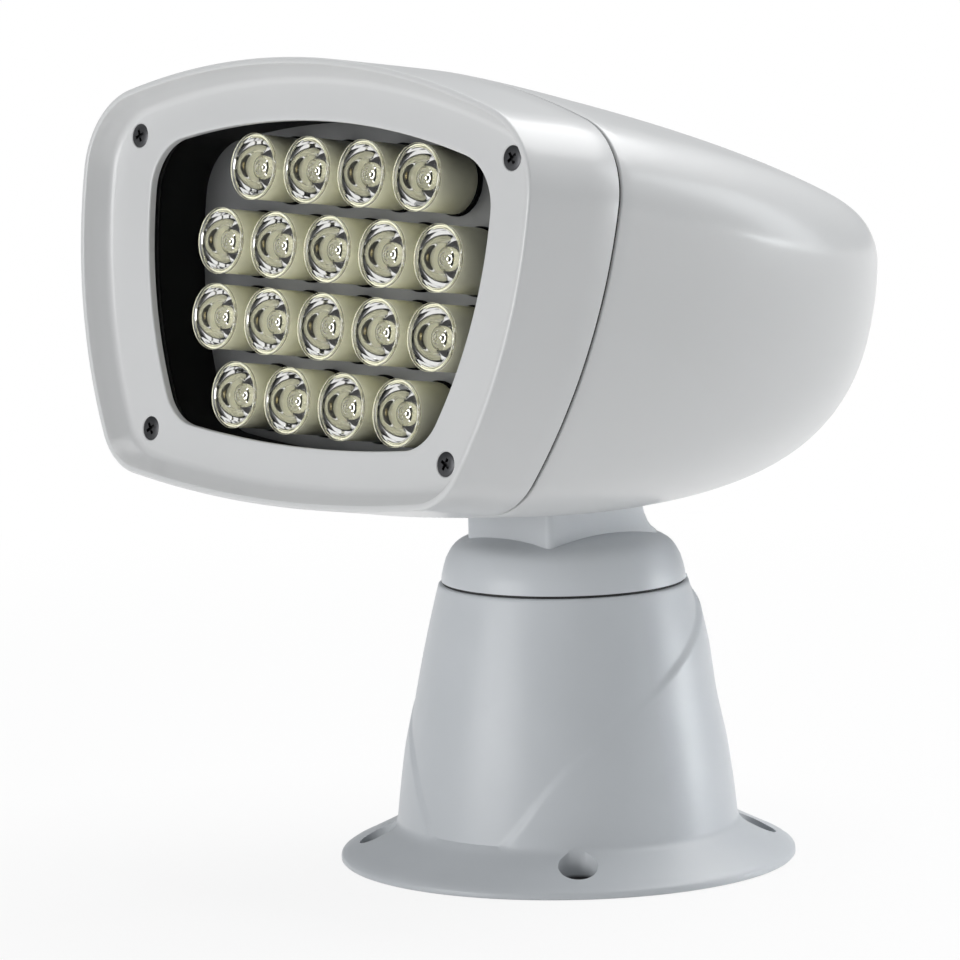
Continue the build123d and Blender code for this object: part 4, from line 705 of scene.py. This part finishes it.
ROW_COUNTS = (4, 5, 5, 4)
ROW_PITCH = 25.3
COLUMN_PITCH = 27.0
LENS_DEPTH = 6.8
PLATE_DEPTH = 25.8
OPTIC_STEPS = 48
LENS_RIM = 11.1
LENS_RIM_THICKNESS = 1.2
LENS_RIM_BREAK = 0.1
LENS_DISH = 0.5
LENS_BODY = 9.9
LENS_TAPER = 6.1
LENS_LENGTH = 15.0
FLANK_TOP = -1.25
FLANK_BULGE = 1.3
FLANK_STEPS = 9
WELL_MOUTH = 4.4
WELL_ROOF = 3.9
WELL_DEPTH = 8.8
ROOF_DOME = 0.8
ROOF_RIPPLE = 0.2
ROOF_RINGS = 3
CUP_RADIUS = 10.8
CUP_CLEARANCE = 0.3
CUP_FOOT_RADIUS = 7.1
CUP_FOOT_BREAK = 0.3
RING_HEIGHT = 1.5
RING_SECTION = ((6.2, 0.0), (11.4, 0.0), (11.4, 1.2), (11.2, RING_HEIGHT), (7.0, RING_HEIGHT), (6.8, 3.7),
                (1.6, 3.7), (1.6, 3.4), (6.2, 3.3))
RING_STEPS = 64
NOTCH_TURNS = (20, 110, 200, 290)
NOTCH = (10.9, 13.0, -1.4, 1.4, 0.3, 2.0)


def lamp_places(depth):
    places = []
    for row, count in enumerate(ROW_COUNTS):
        for column in range(count):
            places.append(head_point((column - (count - 1) / 2) * COLUMN_PITCH, depth, (1.5 - row) * ROW_PITCH))
    return places


def lens_flank(clearance=0.0):
    ends = (LENS_BODY + clearance, FLANK_TOP), (LENS_TAPER + clearance, -LENS_LENGTH)
    return bowed(*ends, FLANK_BULGE, FLANK_STEPS)


def optic_holders(finish):
    """Cream cups: a plain barrel outside, and inside a bowed seat that follows the lens's flank."""
    foot = LENS_DEPTH - PLATE_DEPTH + RING_HEIGHT
    outside = [(CUP_FOOT_RADIUS, foot), (CUP_RADIUS - CUP_FOOT_BREAK, foot), (CUP_RADIUS, foot + CUP_FOOT_BREAK),
               (CUP_RADIUS, FLANK_TOP - 0.25), (CUP_RADIUS - 0.2, FLANK_TOP)]
    barrel = lathe("optic_barrel", outside + lens_flank(CUP_CLEARANCE), OPTIC_STEPS)
    made = copies("optic_holders", barrel, lamp_places(LENS_DEPTH))
    settle(made, finish, "head", ["reflectors"], crease=50.0)


def optic_lenses(finish):
    """Clear collimators: a shallow dish within a rim, a bowed flank and a well whose roof is rippled in rings."""
    rim_edge, rim_back = LENS_RIM - LENS_RIM_BREAK, -LENS_RIM_THICKNESS
    front = [(0.0, -LENS_DISH), (LENS_BODY - 0.4, -LENS_DISH), (LENS_BODY + 0.1, 0.0), (rim_edge, 0.0),
             (LENS_RIM, -LENS_RIM_BREAK), (LENS_RIM, rim_back + LENS_RIM_BREAK), (rim_edge, rim_back),
             (LENS_BODY, rim_back)]
    roof = []
    for step in range(2 * ROOF_RINGS + 1):
        share = 1 - step / (2 * ROOF_RINGS)
        height = WELL_DEPTH - LENS_LENGTH - ROOF_DOME * share * share + ROOF_RIPPLE * (step % 2)
        roof.append((WELL_ROOF * share, height))
    section = front + lens_flank() + [(WELL_MOUTH, -LENS_LENGTH)] + roof
    lens = lathe("optic_lens", section, OPTIC_STEPS, around=False)
    made = copies("optic_lenses", lens, lamp_places(LENS_DEPTH))
    settle(made, finish, "head", ["collimator_lenses"], crease=30.0)


def optic_bases(finish):
    """Black rings that the cups stand in: a notched rim outside, and a cover with a small opening for the chip."""
    ring = cut(lathe("optic_base", RING_SECTION, RING_STEPS), *turned_tools("notch", NOTCH_TURNS, *NOTCH))
    made = copies("optic_bases", ring, lamp_places(PLATE_DEPTH))
    settle(made, finish, "head", ["reflector_holders"], crease=40.0)


# Screws of the bezel

SCREW_PLACES = ((92.2, 45.6), (73.6, -52.0))
SCREW_SINK = 0.1
SCREW_RADIUS = 4.0
SCREW_HEIGHT = 1.6
RECESS_HALF = 0.52 * SCREW_RADIUS
RECESS_BAR = 0.14 * SCREW_RADIUS
RECESS_DEPTH = 1.3
SCREW_STEPS = 40


def bezel_screw_places(depth):
    return [head_point(side * x, depth, z) for x, z in SCREW_PLACES for side in (1, -1)]


def screw_head():
    """A cross-recessed head about Z, its top at zero: a low crown with a cross pressed into it."""
    profile = [(SCREW_RADIUS * share, z) for share, z in (
        (0.0, 0.0), (0.5, -0.01), (0.86, -0.08), (1.0, -0.3), (0.96, -SCREW_HEIGHT), (0.0, -SCREW_HEIGHT))]
    bars = turned_tools("bar", (0, 90), -RECESS_HALF, RECESS_HALF, -RECESS_BAR, RECESS_BAR, -RECESS_DEPTH, 0.5)
    return cut(lathe("screw_head", profile, SCREW_STEPS, around=False), *bars)


def bezel_screws(finish):
    made = copies("bezel_screw_heads", screw_head(), bezel_screw_places(-SCREW_SINK), largest_spin=pi, seed=4)
    settle(made, finish, "head", ["bezel_screws"], crease=30.0)


# Turret

CAP_PROFILE = [(41.5, 95.7), (41.8, 95.7), (41.62, 97.5), (41.0, 100.2), (40.1, 103.2), (38.9, 105.5)]
CAP_SHOULDER = (33.0, 110.2)
CAP_CROWN = (0.0, 114.6)
CAP_INSIDE = [(0.0, 107.0), (29.0, 107.0), (35.0, 104.0), (38.0, 96.4), (38.2, 95.7)]
SHOULDER_BOW = -0.8
CROWN_BOW = -1.1
BOW_STEPS = 8
CAP_STEPS = 192
NECK_BOTTOM = 100.0
NECK_CORNER = 2.5
NECK_ROUND = 19.0
NECK_TOP_FRONT = 0.6       # the least that the round top reaches to the front and to the rear
NECK_TOP_REAR = 0.4
# Heights, and how far the neck's back stands out there, where it runs into the dome
NECK_FLARE = ((NECK_BOTTOM, 8.5), (108.0, 8.2), (111.6, 6.6), (113.2, 4.3), (115.2, 2.6), (118.0, 1.2),
              (121.0, 0.4), (124.0, 0.0), (140.0, 0.0), (TILT_Z, 0.0))
CASTING_CREASE = 38.0


def neck_outline(z, front, rear):
    """A rounded rectangle about the neck at a height, with its corners shared out evenly."""
    corner = min(NECK_CORNER, (front + rear) / 2 - 0.2)
    side, back, ahead = NECK_HALF - corner, rear - corner, corner - front
    points = []
    for centre, start in (((side, back), 0), ((-side, back), 90), ((-side, ahead), 180), ((side, ahead), 270)):
        points += [Vector((x, y, z)) for x, y in round_corner(centre, corner, start, start + 90, 8)]
    return points


def turret(finish):
    """Domed cap and square-shouldered neck, flared at the back where it runs into the dome."""
    shoulder = bowed(CAP_PROFILE[-1], CAP_SHOULDER, SHOULDER_BOW, BOW_STEPS)[1:]
    crown = bowed(CAP_SHOULDER, CAP_CROWN, CROWN_BOW, BOW_STEPS)[1:]
    cap = lathe("cap", CAP_PROFILE + shoulder + crown + CAP_INSIDE, CAP_STEPS)
    rings = [neck_outline(z, NECK_FRONT, NECK_REAR + flare) for z, flare in NECK_FLARE]
    for angle in range(10, 100, 10):
        a = radians(angle)
        rear = NECK_ROUND * cos(a)
        front = min(rear + (NECK_FRONT - NECK_ROUND) * (1 - sin(a)), NECK_FRONT)
        rings.append(neck_outline(TILT_Z + NECK_ROUND * sin(a), max(front, NECK_TOP_FRONT),
                                  max(rear, NECK_TOP_REAR)))
    tips = Vector((0, 0, NECK_BOTTOM)), Vector((0, 0, TILT_Z + NECK_ROUND))
    made = joined("turret_cap_and_neck", cap, skin("neck", rings, tips=tips))
    settle(made, finish, "turret", ["turret_housing"], CASTING_CREASE)


# Base

LAPEL_LINE = ((-57.0, 10.0), (-50.8, 31.0), (-36.8, 47.0), (-9.8, 65.7), (20.0, 82.6), (42.0, 93.9))
LAPEL_PAST = 200.0         # behind its upper end the lapel stands higher than the cone
LAPEL_EASE = 7.0
STEP_WIDTH = 1.5
CRISP_Z = 75.0             # from here up the step is crisp, and over FADE below here it softens
FAINT_Z = 55.0
FAINT_SHARE = 0.7
FADE = 20.0
CONE = ((42.7, 94.8), (50.4, 61.0), (57.6, 13.5))
LAPEL = ((44.6, 94.8), (52.0, 59.3), (58.4, 13.5))
MOUTH_DEPTH = 3.0
MOUTH_BREAK = 0.6
CONE_STEPS = 320
CONE_RINGS = 110
CONE_START = CONE[0][1] - 0.5
CONE_DROP = 81.0           # height of the part that the rings are spread over
FLANGE_PROFILE = [(58.9, 12.3), (60.0, 11.35), (61.5, 10.55), (64.0, 9.35), (68.0, 7.35), (72.5, 5.15),
                  (75.2, 3.9), (76.4, 3.15), (77.4, 2.45), (77.85, 1.9), (78.0, 1.2), (78.0, 0.3), (77.7, 0.0)]
UNDERSIDE = [(74.5, 0.0), (74.5, 1.5), (71.5, 1.5), (71.5, 0.0), (53.0, 0.0), (53.0, 11.0), (53.6, 18.0)]
INSIDE_HEIGHTS = (40.0, 60.0, 78.0)
BOLT_CUTS = ((BOLT_HOLE, -2.0, 5.0), (SEAT_RADIUS, SEAT_Z, 22.0))
BOLT_STEPS = 40


def arc_radius(points, z):
    """Radius at a height on the arc through three points of a profile."""
    (r0, z0), (r1, z1), (r2, z2) = points
    d = 2 * (r0 * (z1 - z2) + r1 * (z2 - z0) + r2 * (z0 - z1))
    s0, s1, s2 = [r * r + h * h for r, h in points]
    cr = (s0 * (z1 - z2) + s1 * (z2 - z0) + s2 * (z0 - z1)) / d
    cz = (s0 * (r2 - r1) + s1 * (r0 - r2) + s2 * (r1 - r0)) / d
    size = hypot(r0 - cr, z0 - cz)
    return cr + (1 if cr < r1 else -1) * sqrt(max(size * size - (z - cz) ** 2, 0.0))


def lapel_height(y):
    """Height of the slanted step at a place from front to back."""
    for (y0, z0), (y1, z1) in zip(LAPEL_LINE, LAPEL_LINE[1:]):
        if y <= y1:
            return z0 + (z1 - z0) * (y - y0) / (y1 - y0)
    return LAPEL_PAST


def smooth_lapel(y):
    """The step's height with its corners eased."""
    return sum(lapel_height(y + LAPEL_EASE * k) for k in (-1.0, -0.5, 0.0, 0.5, 1.0)) / 5


def raised(y, z):
    """How far a place lies on the raised side of the step: 0 above it, 1 below it, smooth across.

    The step is crisp at its top, all but dies out half way down, and comes back softer towards its foot.
    """
    faint = max(1 - abs(z - FAINT_Z) / FADE, 0.0)
    width = STEP_WIDTH * (1 + min(max((CRISP_Z - z) / FADE, 0.0), 1.0))
    share = min(max((smooth_lapel(y) - z) / width + 0.5, 0.0), 1.0)
    return share * share * (3 - 2 * share) * (1 - FAINT_SHARE * faint * faint * (3 - 2 * faint))


def base_shell(finish):
    """Conical base with slanted lapel steps, running out into the bolted flange."""
    top_radius, top = CONE[0]
    mouth = [(top_radius - BASE_WALL, top - MOUTH_DEPTH), (top_radius - BASE_WALL, top),
             (top_radius - MOUTH_BREAK, top), (top_radius - 0.3 * MOUTH_BREAK, top - 0.3 * MOUTH_BREAK)]
    heights = [CONE_START - CONE_DROP * i / CONE_RINGS for i in range(CONE_RINGS + 1)]
    radii = [(arc_radius(CONE, z), arc_radius(LAPEL, z)) for z in heights]
    inside = [(arc_radius(CONE, z) - BASE_WALL, z) for z in INSIDE_HEIGHTS]
    columns = []
    for i in range(CONE_STEPS):
        a = 2 * pi * i / CONE_STEPS
        wall = [(plain + max(lapel - plain, 0.0) * raised(plain * sin(a), z), z)
                for z, (plain, lapel) in zip(heights, radii)]
        columns.append([Vector((r * cos(a), r * sin(a), z))
                        for r, z in mouth + wall + FLANGE_PROFILE + UNDERSIDE + inside])
    made = skin("base_shell", [list(ring) for ring in zip(*columns)], around=True)
    tools = []
    for index in range(4):
        a = radians(BOLT_START - 90 + 90 * index)
        for radius, low, high in BOLT_CUTS:
            section = [(0.0, low), (radius, low), (radius, high), (0.0, high)]
            hole = lathe("hole", section, BOLT_STEPS, around=False)
            hole.data.transform(Matrix.Translation((BOLT_CIRCLE * cos(a), BOLT_CIRCLE * sin(a), 0)))
            tools.append(hole)
    settle(cut(made, *tools), finish, "base", ["base_housing"], CASTING_CREASE)


# Stage, in metres and watts

FLOOR_HALF = 9.0
FLOOR_Z = -0.0004
WHITE_SHARE = (0.88, 0.12)  # how white the floor looks under the lamp, and what is added further off
WHITE_FADE = (0.02, 0.7)    # squares of the distances over which it is added
SOFT_LIGHT = 0.31
PLAIN, COOL = (1.0, 1.0, 1.0), (0.95, 0.98, 1.0)
MIDDLE, FOOT = (0.0, 0.0, 0.18), (0.0, 0.0, 0.05)
SOFTBOXES = (              # place, aim, width, height, power, tint and spread in degrees
    ("overhead", (0.06, 0.6, 1.6), MIDDLE, 1.3, 1.9, 27.0, PLAIN, 180.0),
    ("front_fill", (-0.25, -1.85, 0.34), MIDDLE, 1.2, 0.6, 13.3, PLAIN, 180.0),
    ("right_rear_strip", (0.85, 1.65, 0.5), MIDDLE, 0.5, 1.2, 5.4, COOL, 180.0),
    ("low_right_strip", (0.74, 1.12, 0.09), FOOT, 0.4, 0.1, 0.055, COOL, 18.0),
)


def floor():
    """Pale floor that looks white to the camera and in reflections, but for a share of its shadow."""
    f = Finish("studio_floor")
    tone = f.mix(f.noise(3.0, 2.0), rgb(0.80, 0.80, 0.80), rgb(0.82, 0.82, 0.82))
    plain = f.node("ShaderNodeBsdfDiffuse", None, {"Color": tone})[0]
    white = f.node("ShaderNodeEmission", None, {"Color": rgb(1, 1, 1), "Strength": 1.0})[0]
    across, along = f.axes(f.place)[:2]
    share = (across * across + along * along).clear_of(*WHITE_FADE) * WHITE_SHARE[1] + WHITE_SHARE[0]
    path = f.node("ShaderNodeLightPath")
    seen = path[CAMERA_RAY].at_least(path[GLOSSY_RAY]).at_least(path[TRANSMISSION_RAY])
    data = bpy.data.meshes.new("studio_floor")
    corners = [(x * FLOOR_HALF, y * FLOOR_HALF, FLOOR_Z) for x, y in ((-1, -1), (1, -1), (1, 1), (-1, 1))]
    data.from_pydata(corners, [], [(0, 1, 2, 3)])
    data.materials.append(f.done(f.mix_shaders(seen * share, plain, white)))
    made = new_object("studio_floor", data)


def softbox(name, place, aim, width, height, power, tint, spread):
    light = bpy.data.lights.new(name, "AREA")
    light.shape, light.size, light.size_y = "RECTANGLE", width, height
    light.energy, light.color, light.spread = power, tint, radians(spread)
    made = new_object(name, light)
    made.location = place
    made.rotation_mode = "QUATERNION"
    made.rotation_quaternion = (Vector(aim) - Vector(place)).to_track_quat("-Z", "Y")


def light_the_stage():
    """Soft light from all round, white where the camera sees past the floor, and four softboxes."""
    world = bpy.data.worlds.new("studio")
    bpy.context.scene.world = world
    world.use_nodes = True
    studio = ShaderTree(world.node_tree)
    path = studio.node("ShaderNodeLightPath")
    seen = path[CAMERA_RAY].at_least(path[TRANSMISSION_RAY])
    soft = studio.node("ShaderNodeBackground", None, {"Color": rgb(0.95, 0.975, 1.0), "Strength": SOFT_LIGHT})[0]
    white = studio.node("ShaderNodeBackground", None, {"Color": rgb(1, 1, 1), "Strength": 1.0})[0]
    studio.show(studio.mix_shaders(seen, soft, white), "ShaderNodeOutputWorld")
    for box in SOFTBOXES:
        softbox(*box)


def set_camera():
    h, p, r = radians(HEADING), radians(PITCH), radians(ROLL)
    ahead = Vector((cos(h) * cos(p), sin(h) * cos(p), sin(p)))
    level = Vector((sin(h), -cos(h), 0.0))
    above = level.cross(ahead)
    right = cos(r) * level - sin(r) * above
    up = sin(r) * level + cos(r) * above
    camera = new_object("camera", bpy.data.cameras.new("camera"))
    camera.matrix_world = Matrix.Translation(EYE) @ Matrix((right, up, -ahead)).transposed().to_4x4()
    camera.data.lens, camera.data.sensor_width = LENS, 36.0
    camera.data.clip_start, camera.data.clip_end = 0.1, 40.0
    bpy.context.scene.camera = camera


def finish_nodes():
    """Gives every piece that keeps its own mesh the finish of its real material."""
    steel = metal("screw_steel", (0.22, 0.22, 0.23), 0.3)
    bracket = metal("zinc_plated_steel", (0.55, 0.56, 0.57), 0.32)
    shaft = metal("ground_steel", (0.68, 0.68, 0.69), 0.16)
    cast = metal("cast_aluminium", (0.60, 0.61, 0.62), 0.42)
    brass = metal("machined_brass", (0.72, 0.56, 0.28), 0.24)
    bronze = metal("oiled_bronze", (0.50, 0.34, 0.18), 0.34)
    can = metal("motor_can", (0.22, 0.22, 0.23), 0.34)
    rubber = moulded("black_rubber", (0.018, 0.018, 0.019), 0.62)
    black = moulded("black_moulding", (0.012, 0.012, 0.013), 0.28)
    light_trap = moulded("matt_black_moulding", (0.003, 0.003, 0.003), 0.6, shine=0.12)
    nylon = moulded("natural_acetal", (0.72, 0.71, 0.66), 0.4)
    board = moulded("green_laminate", (0.03, 0.16, 0.08), 0.38)
    chip = moulded("led_silicone", (0.24, 0.19, 0.07), 0.25)
    for finish, names in (
            (steel, "plate_screws yoke_screws driver_screws tilt_motor_screws sector_screws spindle_screws "
                    "spindle_nut gear_plate_screws pan_motor_screws base_plate_screws board_screws"),
            (bracket, "tilt_yoke gear_plate"), (shaft, "tilt_shaft shaft_clips pan_spindle"),
            (cast, "heat_sink base_plate"), (brass, "tilt_pinion pan_pinion"), (bronze, "tilt_bushes pan_bushes"),
            (can, "tilt_motor pan_motor"),
            (rubber, "window_gasket seam_gasket turret_seal base_seal mounting_gasket"),
            (light_trap, "inner_shroud"), (black, "led_driver cable_gland gland_nut"),
            (nylon, "tilt_sector pan_gear"), (board, "control_board"), (chip, "led_emitters"),
            (lamp_plate_finish(), "led_plate"), (clear_window(), "window_glass")):
        for name in names.split():
            data = NODES[name].data
            data.materials.clear()
            data.materials.append(finish)


def main():
    set_camera()
    bpy.context.scene.view_settings.view_transform = "Standard"
    floor()
    light_the_stage()
    gloss = gloss_paint()
    front_ring(gloss)
    tail_shell(gloss)
    optic_holders(moulded("cream_holder", (0.87, 0.855, 0.65), 0.3, grain=0.00002, scale=900.0))
    optic_lenses(clear_optic())
    optic_bases(moulded("black_holder", (0.002, 0.002, 0.002), 0.85, grain=0.00002, scale=900.0, shine=0.05))
    bezel_screws(metal("dark_screw_steel", (0.075, 0.076, 0.08), 0.3))
    turret(powder_coat("turret_powder_coat"))
    # the base's bolt seats get painted shade
    base_shell(powder_coat("base_powder_coat", shaded_seats=True))
    finish_nodes()


main()
